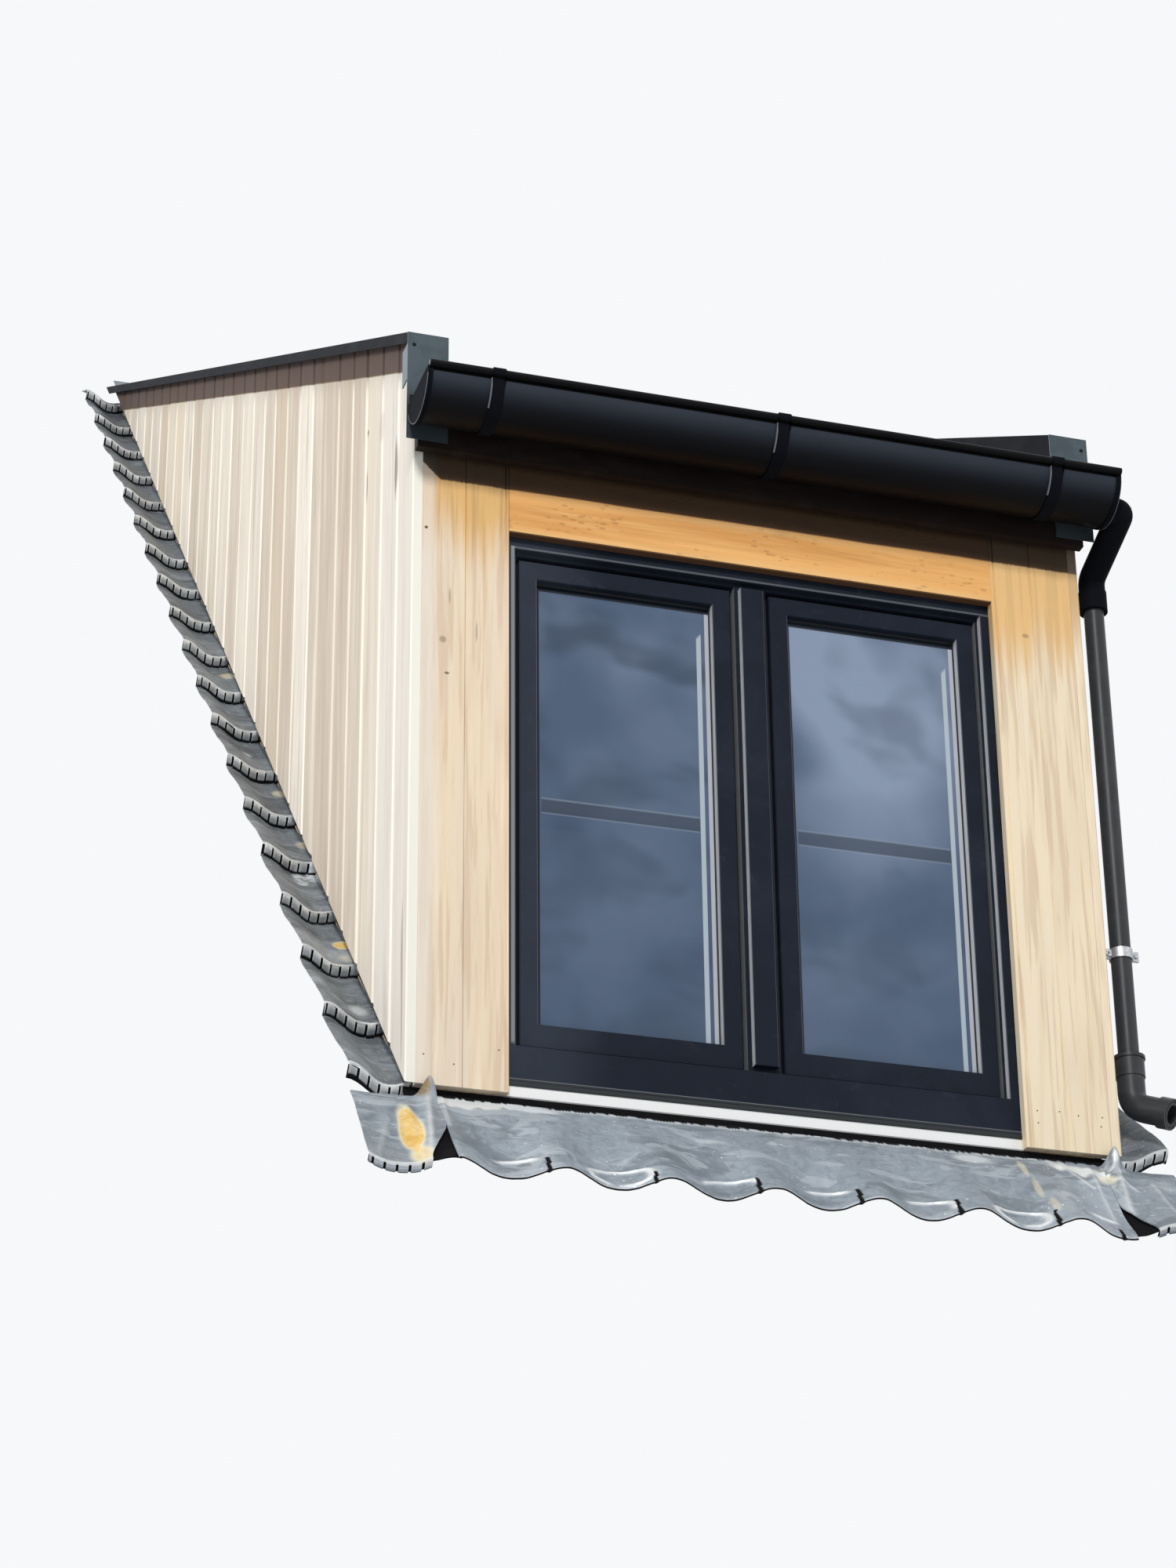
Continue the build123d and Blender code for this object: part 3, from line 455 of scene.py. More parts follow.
def sawn_timber(name, along):
    """Sawn softwood with its grain along one axis."""
    pale, deep = (0.62, 0.45, 0.27), (0.42, 0.26, 0.12)
    f = Finish(name)
    board, _, grain = board_grain(f, along)
    flow = f.noise(grain, 7.0, 2.0, 0.5, 0.6)
    rings = (flow * 46.0).math("SINE") * 0.5 + 0.5
    lines = f.noise(grain, 120.0, 3.0, 0.62)
    fibre = f.noise(grain, 620.0, 2.0, 0.6)
    broad = f.noise(grain, 16.0, 2.0, 0.5)
    depth = (rings ** 2.0) * 0.30 + lines.between(0.40, 0.72) * 0.45 + broad.between(0.35, 0.7) * 0.35
    tone = f.mix((depth * 0.6).clamped(), pale, deep)
    tone = f.mix(board.between(0.2, 1.0) * 0.75, tone, f.mix(0.5, tone, deep))
    tone = f.mix((fibre.between(0.55, 0.8) * 0.28).clamped(), tone, shaded(deep, 0.55))
    crack = f.noise(grain, 34.0, 1.0, 0.4, 0.4).between(0.735, 0.765)
    tone = f.mix(crack * 0.55, tone, shaded(deep, 0.25))
    f.set(Base_Color=tone, Roughness=(0.78 + lines * 0.16).clamped(), Specular_IOR_Level=0.32)
    f.bump(lines * 0.6 + fibre - crack * 2.0, 0.0012, 0.5)
    return f


def lintel_timber(settings):
    """Orange plank over the window: level streaks, short dark flecks, a bleached lower edge, painted shade
    underneath and the gutter's painted shadow over its top.
    """
    f = Finish("lintel_timber")
    grain = f.stretched(GRAIN["X"])
    streak = f.noise(f.stretched((1.1, 20.0, 20.0)), 1.0, 4.0, 0.62, 0.7)
    lines = f.noise(grain, 110.0, 3.0, 0.62)
    fleck = f.cells(f.stretched((0.38, 1.0, 1.0)), 95.0).between(0.34, 0.20)
    fleck = fleck * f.noise(f.place, 9.0, 2.0, 0.5).between(0.48, 0.56)
    tone = f.mix(streak.between(0.36, 0.66), settings.lintel, shaded(settings.lintel, (0.76, 0.68, 0.58)))
    tone = f.mix(lines.between(0.45, 0.72) * 0.35, tone, (0.98, 0.60, 0.24))
    tone = f.mix(fleck * 0.42, tone, (0.36, 0.16, 0.048))
    z = f.split(f.place)[2]
    # Painted shade: faces turned down go dark brown (mixed in below)
    under = (f.normal()[2] * -1.0).between(0.3, 0.8)
    bleached = (z + (streak - 0.5) * 0.02).below(lintel_low.z + 0.003, lintel_low.z + 0.020)
    tone = f.mix(bleached * 0.35, tone, (0.90, 0.62, 0.30))
    tone = f.mix(under * 0.95, tone, (0.060, 0.022, 0.010))
    # Painted shadow of the gutter over the top, brown at its foot and black above, with a painted highlight
    # just below its foot
    dark = (z + (lines - 0.5) * 0.006).between(GUTTER_SHADOW_Z, GUTTER_SHADOW_Z + 0.005) * (1.0 - under)
    pale = z.between(GUTTER_SHADOW_Z - 0.018, GUTTER_SHADOW_Z - 0.004) * (1.0 - dark)
    tone = f.mix(pale * streak.between(0.35, 0.6) * 0.5, tone, (1.0, 0.62, 0.27))
    shade = f.mix(z.between(GUTTER_SHADOW_Z, GUTTER_SHADOW_Z + 0.022), (0.050, 0.020, 0.009), GUTTER_SHADOW_BLACK)
    tone = f.mix(dark.clamped() * 0.95, tone, shade)
    f.set(Base_Color=tone, Roughness=(0.58 + lines * 0.16).clamped(), Specular_IOR_Level=0.3)
    f.bump(lines * 0.6 + streak * 0.5 - fleck, 0.0007, 0.5)
    return f


def cheek_timber(settings):
    """Bleached boards, each between cream and a greyish beige, with open cracks; painted highlights on the
    front edges, and painted shadows under the verge trim and the gutter.
    """
    f = Finish("cheek_timber")
    board, moved, grain = board_grain(f, "Z")
    x, y, z = f.split(f.place)
    flow = f.noise(grain, 9.0, 2.0, 0.5, 0.5)
    rings = (flow * 40.0).math("SINE") * 0.5 + 0.5
    lines = f.noise(grain, 95.0, 3.0, 0.6)
    fibre = f.noise(grain, 520.0, 2.0, 0.6)
    drift = f.noise(f.stretched((1.0, 1.0, 0.35), moved), 3.0, 2.0, 0.5)
    tone = f.mix((board + (drift - 0.5) * 0.7).between(0.1, 0.95), settings.pale, settings.pink)
    warm = f.node("Math", {"operation": "FRACT"}, {0: board * 7.0}).between(0.55, 0.95)
    tone = f.mix(warm * 0.6, tone, (0.86, 0.73, 0.54))
    depth = (rings ** 2.0) * 0.2 + lines.between(0.42, 0.72) * 0.35
    tone = f.mix((depth * 0.70).clamped(), tone, shaded(settings.pink, 0.74))
    vein = f.noise(grain, 30.0, 3.0, 0.6, 0.5)
    tone = f.mix(vein.between(0.54, 0.70) * 0.5, tone, shaded(settings.pink, 0.80))
    tone = f.mix(vein.below(0.32, 0.46) * 0.4, tone, settings.pale)
    tone = f.mix(y.below(0.10, 0.42) * 0.42, tone, (0.76, 0.735, 0.70))
    tone = f.mix(fibre.between(0.6, 0.8) * 0.16, tone, shaded(settings.pink, 0.5))
    crack = f.noise(grain, 22.0, 1.0, 0.4, 0.5).between(0.765, 0.79)
    tone = f.mix(crack * 0.6, tone, (0.26, 0.21, 0.17))
    # Painted highlight: faces turned to the front take a pale sunlit tone on the left; on the right they take
    # honey and amber, with the gutter's painted shadow at the top
    edge = (f.normal()[1] * -1.0).between(0.45, 0.9)
    honeyed = f.mix(lines.between(0.42, 0.68) * 0.6, (1.0, 0.84, 0.60), (0.78, 0.60, 0.40))
    honeyed = f.mix(z.between(lintel_low.z - 0.13, lintel_low.z + 0.05), honeyed, (0.72, 0.45, 0.19))
    honeyed = f.mix(z.between(GUTTER_SHADOW_Z, GUTTER_SHADOW_Z + 0.005) * 0.9, honeyed, GUTTER_SHADOW_BROWN)
    tone = f.mix(edge * 0.9, tone, f.mix(x.math("GREATER_THAN", 0.0), settings.sunlit_edge_tone, honeyed))
    # Painted shadow of the verge trim: a dark brown band under the trim, a lighter olive-brown line at its
    # foot
    fall = z - y * math.tan(DORMER_PITCH) + (drift - 0.5) * 0.006
    trim_shadow = fall.between(clad_top_line - 0.079, clad_top_line - 0.073)
    tone = f.mix(trim_shadow * 0.97, tone, f.mix(lines, (0.085, 0.050, 0.042), (0.125, 0.082, 0.068)))
    lip = trim_shadow * fall.below(clad_top_line - 0.074, clad_top_line - 0.069)
    tone = f.mix(lip * 0.6, tone, (0.16, 0.095, 0.03))
    for centre, sizes, strength in CHEEK_MARKS:
        tone = f.mix(f.spot(centre, sizes) * strength, tone, (0.16, 0.12, 0.09))
    f.set(Base_Color=tone, Roughness=(0.66 + lines * 0.16).clamped(), Specular_IOR_Level=0.25)
    f.bump(lines * 0.6 + fibre * 0.4 - crack * 2.5, 0.0006, 0.5)
    return f


def front_timber(settings):
    """Honey boards, bleached below and amber under the gutter's shelter, with the gutter's shadow painted
    across their tops.
    """
    f = Finish("front_timber")
    _, moved, grain = board_grain(f, "Z")
    x, _, z = f.split(f.place)
    right = x.math("GREATER_THAN", 0.0)
    flow = f.noise(grain, 6.0, 2.0, 0.5, 0.7)
    rings = (flow * 44.0).math("SINE") * 0.5 + 0.5
    lines = f.noise(grain, 130.0, 3.0, 0.62)
    fibre = f.noise(grain, 620.0, 2.0, 0.6)
    streak = f.noise(f.stretched((1.0, 1.0, 0.035), moved), 70.0, 3.0, 0.6, 0.3)
    wide = f.noise(f.stretched((1.0, 1.0, 0.10), moved), 14.0, 2.0, 0.5, 0.4)
    tone = f.mix(wide.between(0.38, 0.62), settings.honey, shaded(settings.honey, (1.05, 1.02, 0.94)))
    tone = f.mix(right * 0.62, tone, (1.0, 0.86, 0.60))
    tone = f.mix(streak.between(0.49, 0.61) * 0.62, tone, settings.streak)
    tone = f.mix(streak.below(0.30, 0.44) * 0.75, tone, (0.95, 0.83, 0.66))
    tone = f.mix((rings ** 3.0) * 0.22, tone, settings.streak)
    level = z + (wide - 0.5) * 0.26 + (streak - 0.5) * 0.16 + right * 0.07
    shelter = level.between(lintel_low.z - 0.13, lintel_low.z + 0.05)
    amber = f.mix(streak.between(0.45, 0.62), settings.amber, shaded(settings.amber, 0.80))
    tone = f.mix(shelter * 0.92, tone, amber)
    tone = f.mix(shelter * right * 0.42, tone, (1.0, 0.66, 0.31))
    outer = (x.math("ABSOLUTE") + (wide - 0.5) * 0.03).between(HALF_WIDTH - 0.062, HALF_WIDTH - 0.040)
    tone = f.mix(outer * (1.0 - right) * 0.62, tone, (0.88, 0.81, 0.72))
    tone = f.mix(fibre.between(0.56, 0.8) * 0.16, tone, shaded(settings.streak, 0.6))
    # Painted shadow of the gutter over the tops, its foot rising towards the left corner, brown at the foot
    # and black above
    rise = (x * -1.0 - 0.690).math("MAXIMUM", 0.0) * 0.98
    dark = (z + (lines - 0.5) * 0.006 - rise).between(GUTTER_SHADOW_Z, GUTTER_SHADOW_Z + 0.005)
    shade = f.mix((z - rise).between(GUTTER_SHADOW_Z, GUTTER_SHADOW_Z + 0.022), GUTTER_SHADOW_BROWN, GUTTER_SHADOW_BLACK)
    tone = f.mix(dark * 0.95, tone, shade)
    for centre, sizes, strength in BOARD_MARKS:
        tone = f.mix(f.spot(centre, sizes) * strength, tone, (0.10, 0.06, 0.03))
    f.set(Base_Color=tone, Roughness=(0.6 + lines * 0.16).clamped(), Specular_IOR_Level=0.3)
    f.bump(lines * 0.6 + fibre * 0.4 + streak * 0.6, 0.0007, 0.45)
    return f


def lead_finish(settings):
    """Dulled lead with cloudy mottling, white bloom and stains at the corners; the points' mark paints
    highlights with some wear above 0, and shade in black below 0.
    """
    f = Finish("lead_sheet")
    cloud = f.noise(f.place, 7.0, 4.0, 0.6, 0.5)
    mottle = f.noise(f.place, 42.0, 4.0, 0.65, 0.9)
    fine = f.noise(f.place, 300.0, 3.0, 0.6)
    # The mark on the points: above 0 painted highlights with some wear, below 0 painted shade
    rubbed = f.attribute("shine_wear_shade")
    open_air = f.attribute("tone")
    scratch = f.noise(f.stretched((9.0, 90.0, 90.0)), 1.0, 3.0, 0.62, 1.4).between(0.62, 0.70)
    cross = f.noise(f.stretched((120.0, 22.0, 22.0)), 1.0, 2.0, 0.6, 1.2).between(0.68, 0.73)
    base = f.mix(open_air, settings.grey, settings.apron)
    deep = f.mix(open_air, shaded(settings.grey, 0.42), shaded(settings.apron, 0.55))
    tone = f.mix(mottle.below(0.36, 0.54) * 0.38, base, deep)
    broad = f.noise(f.stretched((0.45, 1.0, 1.0)), 9.0, 3.0, 0.6, 0.8)
    tone = f.mix(broad.between(0.50, 0.60) * 0.62, tone, deep)
    wash = f.noise(f.stretched((5.0, 17.0, 17.0)), 1.0, 3.0, 0.6, 1.2).between(0.57, 0.62)
    tone = f.mix(wash * (0.15 + open_air * 0.40), tone, settings.bright)
    bloom = (cloud.between(0.50, 0.72) * 0.55 + mottle.between(0.56, 0.72) * 0.45).clamped()
    tone = f.mix(bloom * 0.75, tone, settings.bright)
    tone = f.mix((scratch * 0.5 + cross * 0.3).clamped(), tone, shaded(settings.bright, 1.1))
    # Painted highlights, partly wear
    tone = f.mix((rubbed * (0.60 + fine * 0.5)).clamped(), tone, settings.worn_and_lit)
    ragged = (mottle * 0.5 + broad * 0.5).between(0.38, 0.50)
    tone = f.mix((f.spots(BLOOMS) * (0.25 + ragged)).clamped() * 0.9, tone, (0.80, 0.85, 0.87))
    stain = f.spots((centre, (width, reach, reach), strength) for centre, width, reach, strength in STAINS)
    stain = (stain * (mottle * 0.6 + cloud * 0.4).between(0.20, 0.50)).clamped()
    blush = f.mix(mottle.between(0.35, 0.65), settings.stain, (0.88, 0.66, 0.28))
    blush = f.mix(stain.between(0.45, 1.0), (0.90, 0.82, 0.58), blush)
    tone = f.mix((stain * 1.3).clamped() * 0.92, tone, blush)
    rust = f.spot((LEAD_PEAKS[-1] - 0.012, FRONT_Y - 0.005, 0.055), (0.020, 0.05, 0.045))
    tone = f.mix((rust * mottle.between(0.3, 0.5)).clamped() * 0.85, tone, (0.20, 0.12, 0.035))
    pale = (f.cells(f.place, 46.0).between(0.16, 0.05) * cloud.between(0.45, 0.6) * open_air).clamped()
    tone = f.mix(pale * 0.7, tone, settings.worn_and_lit)
    # Painted shade: lead turned black where the mark is below 0
    cut = (rubbed * -1.0).clamped()
    tone = f.mix(cut, tone, (0.006, 0.006, 0.007))
    rough = 0.52 - rubbed.clamped() * 0.14 + mottle * 0.14 + stain * 0.2
    metal = (0.30 - stain * 0.3) * (1.0 - cut)
    f.set(Base_Color=tone, Roughness=(rough + cut * 0.4).clamped(), Metallic=metal.clamped())
    f.set(Specular_IOR_Level=0.16)
    f.bump(cloud * 0.9 + mottle * 0.7 + fine * 0.15 + scratch * 0.3, 0.0035, 0.55)
    return f


def satin(name, tone, rough, dust, grain=900.0, gloss=0.5):
    """Smooth coat or plastic with a fine skin, dust and faint smears."""
    f = Finish(name)
    skin = f.noise(f.place, grain, 2.0, 0.6)
    smear = f.noise(f.stretched((3.0, 3.0, 9.0)), 2.2, 4.0, 0.62, 0.8)
    speck = f.noise(f.place, 160.0, 2.0, 0.5).between(0.70, 0.76)
    shade = f.mix(smear.between(0.42, 0.75) * dust, tone, shaded(tone, 1.2, 0.03))
    shade = f.mix(speck * dust * 0.6, shade, shaded(tone, 1.0, 0.10))
    f.set(Base_Color=shade, Roughness=(rough + smear * 0.14).clamped(), Specular_IOR_Level=gloss)
    f.bump(skin, 0.0002, 0.35)
    return f


def trim_finish(settings):
    """Black coat of the verge trims with a painted highlight along the drip edge."""
    f = satin("verge_trim_coat", settings.trim, 0.55, 0.12, gloss=0.04)
    _, y, z = f.split(f.place)
    # Painted highlight along the drip edge, broken up by noise
    fall = z - y * math.tan(DORMER_PITCH) - TRIM_FOOT
    drip = fall.below(0.0040, 0.0052) * f.normal()[0].facing()
    worn_and_lit = f.noise(f.stretched((1.0, 0.2, 1.0)), 60.0, 3.0, 0.6).between(0.30, 0.60)
    film = f.noise(f.place, 5.0, 3.0, 0.6, 0.5).between(0.42, 0.70)
    tone = f.mix(film * 0.45, settings.trim, shaded(settings.trim, 1.8, 0.008))
    tone = f.mix((drip * (0.35 + worn_and_lit * 0.5)).clamped(), tone, (0.30, 0.29, 0.27))
    f.set(Base_Color=tone)
    return f


def plate_finish(settings):
    """Coated end plate with painted shade below the gutter's top and a painted highlight on its return along
    the cheek.
    """
    f = satin("end_plate_coat", settings.plate, 0.5, 0.3, gloss=0.08)
    cloud = f.noise(f.place, 24.0, 3.0, 0.6, 0.5)
    # Painted light: the sideways return takes a pale highlight, and the plate under the gutter's top takes
    # painted shade
    side = f.normal()[0].facing()
    low = (f.split(f.place)[2] + cloud * 0.02).below(gutter_high.z - 0.03, gutter_high.z + 0.05)
    tone = f.mix(cloud.between(0.35, 0.65) * 0.5, settings.plate, shaded(settings.plate, 0.6))
    tone = f.mix(low * 0.75, tone, shaded(settings.plate, 0.35))
    tone = f.mix(side * (1.0 - low) * 0.9, tone, (0.26, 0.31, 0.34))
    f.set(Base_Color=tone)
    return f


def gutter_finish(settings):
    """Black plastic: under the roll a lighter zone, painted light with some dust, then a painted shadow just
    under the roll; the roll itself a little lighter and the belly painted blackest as shade.
    """
    f = satin("gutter_plastic", settings.black, 0.42, 0.2, grain=700.0, gloss=0.10)
    _, y, z = f.split(f.place)
    smear = f.noise(f.stretched((1.5, 9.0, 9.0)), 2.0, 3.0, 0.6, 0.6)
    level = z - GUTTER_Z
    front = y.below(GUTTER_Y - 0.050, GUTTER_Y - 0.020)
    # Painted light with some dust: a lighter zone on the front below the roll
    lit_and_dusty = level.between(-0.066, -0.012) * level.below(-0.0105, -0.0095) * front
    tone = f.mix(lit_and_dusty * (0.55 + smear * 0.5), settings.black, (0.036, 0.045, 0.062))
    roll = level.between(0.0045, 0.0065) * front
    tone = f.mix(roll * 0.8, tone, (0.022, 0.025, 0.030))
    # Painted shadow just under the roll
    roll_shadow = level.between(-0.0105, -0.0095) * level.below(0.0045, 0.0065) * front
    tone = f.mix(roll_shadow * 0.95, tone, (0.0015, 0.0015, 0.002))
    # Painted shade: the belly blackest
    tone = f.mix(level.below(-0.085, -0.045) * 0.8, tone, (0.0025, 0.0016, 0.0018))
    f.set(Base_Color=tone)
    return f


def foil_finish(settings):
    """Dark foil of the window profiles; the side walls marked in the mesh shine pale in the sun."""
    f = Finish("profile_foil")
    grain = f.noise(f.stretched((1.0, 1.0, 0.12)), 900.0, 3.0, 0.6)
    smear = f.noise(f.place, 4.0, 4.0, 0.6, 0.6)
    dust = f.noise(f.place, 26.0, 4.0, 0.65, 0.5)
    tone = f.mix(smear.between(0.42, 0.72) * 0.5, settings.profile, shaded(settings.profile, 1.9, 0.004))
    tone = f.mix(dust.between(0.58, 0.74) * 0.3, tone, shaded(settings.profile, 2.2, 0.012))
    x, y, z = f.split(f.place)
    normal = f.normal()
    # Painted light: the profiles lighter towards the left end, lit from the left
    tone = f.mix(x.below(-0.46, -0.30) * 0.15, tone, (0.13, 0.155, 0.20))
    wall = (normal[0].facing() * f.attribute("tone") * (0.82 + dust * 0.3)).clamped()
    tone = f.mix(wall, tone, settings.shine)
    facing = (normal[1] * -1.0).between(0.7, 0.95)
    top = z.below(NIB_Z1 + 0.0055, NIB_Z1 + 0.0065)
    head = z.between(NIB_Z1 + 0.0002, NIB_Z1 + 0.0010) * top
    jamb = x.between(-NIB_X - 0.0095, -NIB_X - 0.0085) * x.below(-NIB_X - 0.0015, -NIB_X - 0.0005)
    outside = y.math("LESS_THAN", frame_low.y + 0.004)
    lit = ((head * 0.25 * x.between(-NIB_X - 0.009, -NIB_X) + jamb * 0.6) * facing * outside).clamped()
    lit = lit * z.between(NIB_Z0, NIB_Z0 + 0.01) * top
    tone = f.mix(lit * 0.55, tone, settings.shine)
    foot = z.below(frame_low.z + 0.0165, frame_low.z + 0.0175) * facing * outside
    line = z.between(frame_low.z + 0.0155, frame_low.z + 0.0160) * foot
    tone = f.mix(foot.clamped() * 0.8, tone, (0.050, 0.055, 0.054))
    tone = f.mix(line.clamped() * 0.8, tone, (0.24, 0.25, 0.27))
    f.set(Base_Color=tone, Roughness=(0.42 + smear * 0.16).clamped(), Specular_IOR_Level=0.07)
    f.bump(grain, 0.0002, 0.4)
    return f


def sill_white():
    """White plastic packer; the faces below its front strip, at its two edge ribs, painted dark grey as
    shade.
    """
    f = Finish("sill_packer_white")
    film = f.noise(f.stretched((2.0, 30.0, 30.0)), 4.0, 3.0, 0.6, 0.4)
    grit = f.noise(f.place, 260.0, 2.0, 0.6)
    tone = f.mix(film.between(0.5, 0.8) * 0.15, (0.97, 0.97, 0.96), (0.80, 0.81, 0.80))
    tone = f.mix(f.attribute("tone"), tone, (0.11, 0.12, 0.12))
    f.set(Base_Color=tone, Roughness=(0.3 + grit * 0.12).clamped())
    f.bump(grit, 0.0002, 0.3)
    return f


def glass_finish(settings):
    """Pane painted with the reflection of a cloudy sky, partly see-through, darker where the rails shade its
    edges, with painted reflections of a lit wall beside its right edge.
    """
    f = Finish("pane_glass")
    x, _, z = f.split(f.place)
    right_pane = x.math("GREATER_THAN", 0.0)
    apart = sash_light_x1 + sash_light_x0
    from_right = (right_pane * apart - sash_light_x0) - x
    from_left = x - (right_pane * apart - sash_light_x1)
    # Painted reflection of a cloudy sky: light patches over the panes' tone, and darker patches below
    drift = f.noise(f.stretched((1.0, 1.0, 1.1)), 2.6, 2.0, 0.45, 0.3)
    veil = f.noise(f.place, 6.0, 2.0, 0.5, 0.2)
    cloud = f.near((-0.16, GLASS_Y, 1.02), 0.22) * 0.30 + f.near((0.30, GLASS_Y, 1.10), 0.30) * 0.80
    cloud = cloud + f.near((0.13, GLASS_Y, 1.16), 0.24) * 0.7 + f.near((0.25, GLASS_Y, 0.80), 0.22) * 0.45
    light = drift.between(0.38, 0.70) * (0.14 + right_pane * 0.24) + veil.between(0.42, 0.68) * 0.10
    light = light + cloud * drift.between(0.22, 0.60) * 0.9
    light = light * (0.55 + z.between(0.20, 0.85) * 0.45)
    tone = f.mix(light.clamped(), settings.tint, settings.cloud)
    deep = f.noise(f.stretched((1.0, 1.0, 1.3)), 4.2, 2.0, 0.5, 0.4).between(0.50, 0.68)
    patches = f.near((-0.12, GLASS_Y, 0.90), 0.30) * 0.4 + f.near((-0.42, GLASS_Y, 1.16), 0.26) * 0.3
    deep = deep * (0.35 + patches)
    tone = f.mix(deep.clamped(), tone, (0.030, 0.050, 0.088))
    shade = z.between(sash_light_z1 - 0.0165, sash_light_z1 - 0.0145) + from_left.below(0.009, 0.011)
    shade = shade.clamped()
    tone = f.mix(shade * 0.95, tone, (0.004, 0.006, 0.010))
    # Painted reflections of the lit rebate wall: two pale lines beside each pane's right edge
    first = from_right.between(0.002, 0.003) * from_right.below(0.0115, 0.0125) * (1.0 - shade)
    lower = (z + from_right * 1.2).below(sash_light_z1 - 0.045, sash_light_z1 - 0.035)
    second = from_right.between(0.0200, 0.0210) * from_right.below(0.0300, 0.0315) * lower
    tone = f.mix(first * 0.90, tone, (0.62, 0.64, 0.70))
    tone = f.mix(second * 0.85, tone, (0.56, 0.64, 0.70))
    bar = z.between(BAR_LOW, BAR_LOW + 0.001) * z.below(BAR_HIGH, BAR_HIGH + 0.001)
    lines = f.spots((
        ((0.0, GLASS_Y, BAR_HIGH), (9.0, 9.0, 0.0030), 1.0),
        ((0.0, GLASS_Y, BAR_LOW), (9.0, 9.0, 0.0026), 0.8),
    ))
    inside = from_left.between(0.012, 0.016) * from_right.between(0.030, 0.034)
    tone = f.mix(bar * inside * 0.70, tone, (0.045, 0.060, 0.088))
    tone = f.mix((lines * inside * 0.35).clamped(), tone, (0.34, 0.42, 0.52))
    f.set(Base_Color=tone, Roughness=0.05, Specular_IOR_Level=0.22, Alpha=(0.92 + shade * 0.08).clamped())
    return f


def membrane_finish(settings):
    """Rubber roof sheet with dust, ponding marks and a soft sheen."""
    f = Finish("roof_sheet")
    pond = f.noise(f.stretched((2.2, 1.1, 1.1)), 1.0, 5.0, 0.62, 0.7)
    fine = f.noise(f.place, 240.0, 3.0, 0.6)
    run = f.noise(f.stretched((26.0, 1.2, 1.2)), 1.0, 3.0, 0.6)
    tone = f.mix(pond.between(0.42, 0.68) * 0.5, settings.sheet, (0.115, 0.112, 0.105))
    tone = f.mix(run.between(0.55, 0.75) * 0.3, tone, (0.16, 0.155, 0.145))
    f.set(Base_Color=tone, Roughness=(0.6 + pond * 0.25).clamped())
    f.bump(fine * 0.3 + pond, 0.002, 0.35)
    return f


def strand_board():
    """Pressed strand board: flat flakes at all angles."""
    f = Finish("strand_board")
    flake = f.cells(f.place, 26.0, output="Color")
    turn = f.split(flake)[0]
    streak = f.noise(f.vector("ADD", f.stretched((1.0, 0.35, 0.35)), flake), 60.0, 3.0, 0.6)
    tone = f.mix(turn, (0.56, 0.38, 0.20), (0.36, 0.23, 0.11))
    tone = f.mix(streak.between(0.4, 0.7) * 0.5, tone, (0.66, 0.49, 0.28))
    f.set(Base_Color=tone, Roughness=0.68)
    f.bump(turn * 0.6 + streak * 0.4, 0.0008, 0.6)
    return f


def plaster_board():
    """Paper face of an unpainted lining board, with faint scuffs."""
    f = Finish("lining_paper")
    fibre = f.noise(f.place, 700.0, 3.0, 0.6)
    scuff = f.noise(f.place, 7.0, 4.0, 0.62, 0.8)
    tone = f.mix(scuff.between(0.45, 0.75) * 0.5, (0.79, 0.78, 0.75), (0.62, 0.61, 0.58))
    f.set(Base_Color=tone, Roughness=(0.82 + fibre * 0.1).clamped())
    f.bump(fibre, 0.0003, 0.4)
    return f


def steel_finish():
    """Zinc-plated steel with a spangle."""
    f = Finish("zinc_steel")
    spangle = f.cells(f.place, 260.0)
    film = f.noise(f.place, 60.0, 3.0, 0.6)
    tone = f.mix(spangle.between(0.1, 0.6), (0.62, 0.63, 0.64), (0.42, 0.43, 0.45))
    f.set(Base_Color=tone, Roughness=(0.28 + film * 0.2).clamped(), Metallic=0.9)
    f.bump(spangle, 0.0002, 0.3)
    return f


finishes = {}


def finish_for(key):
    """Material for one finish, made the first time it is asked for."""
    if key not in finishes:
        scene = bpy.context.scene
        boards, window = scene.dormer_boards, scene.dormer_window
        lead, eaves = scene.dormer_lead, scene.dormer_eaves
        makers = {
            "softwood": lambda: sawn_timber("sawn_softwood", "Z"),
            "softwood_x": lambda: sawn_timber("sawn_softwood_x", "X"),
            "softwood_y": lambda: sawn_timber("sawn_softwood_y", "Y"),
            "strand": strand_board,
            "lining": plaster_board,
            "cheek": lambda: cheek_timber(boards),
            "front": lambda: front_timber(boards),
            "lintel": lambda: lintel_timber(boards),
            "membrane": lambda: membrane_finish(eaves),
            "trim": lambda: trim_finish(eaves),
            "fascia": lambda: satin("fascia_coat", eaves.fascia, 0.55, 0.25, gloss=0.12),
            "plate": lambda: plate_finish(eaves),
            "gutter": lambda: gutter_finish(eaves),
            "gutter_end": lambda: satin("stop_end_plastic", eaves.black, 0.6, 0.04, gloss=0.03),
            "pipe": lambda: satin("downpipe_plastic", eaves.pipe, 0.32, 0.3, gloss=0.24),
            # Painted highlights: the pale edges of the gutter straps and the rims of the stop ends
            "highlight_edge": lambda: satin("highlight_edge_coat", (0.16, 0.175, 0.185), 0.4, 0.3, gloss=0.25),
            "steel": steel_finish,
            "foil": lambda: foil_finish(window),
            "white": lambda: satin("white_profile", window.inner, 0.35, 0.15),
            "sill_white": sill_white,
            "bar": lambda: satin("glazing_bar_coat", (0.12, 0.135, 0.16), 0.4, 0.2),
            "glass": lambda: glass_finish(window),
            "seal": lambda: satin("rubber_seal", (0.008, 0.008, 0.009), 0.6, 0.1),
            "lead": lambda: lead_finish(lead),
        }
        finishes[key] = makers[key]().material
    return finishes[key]


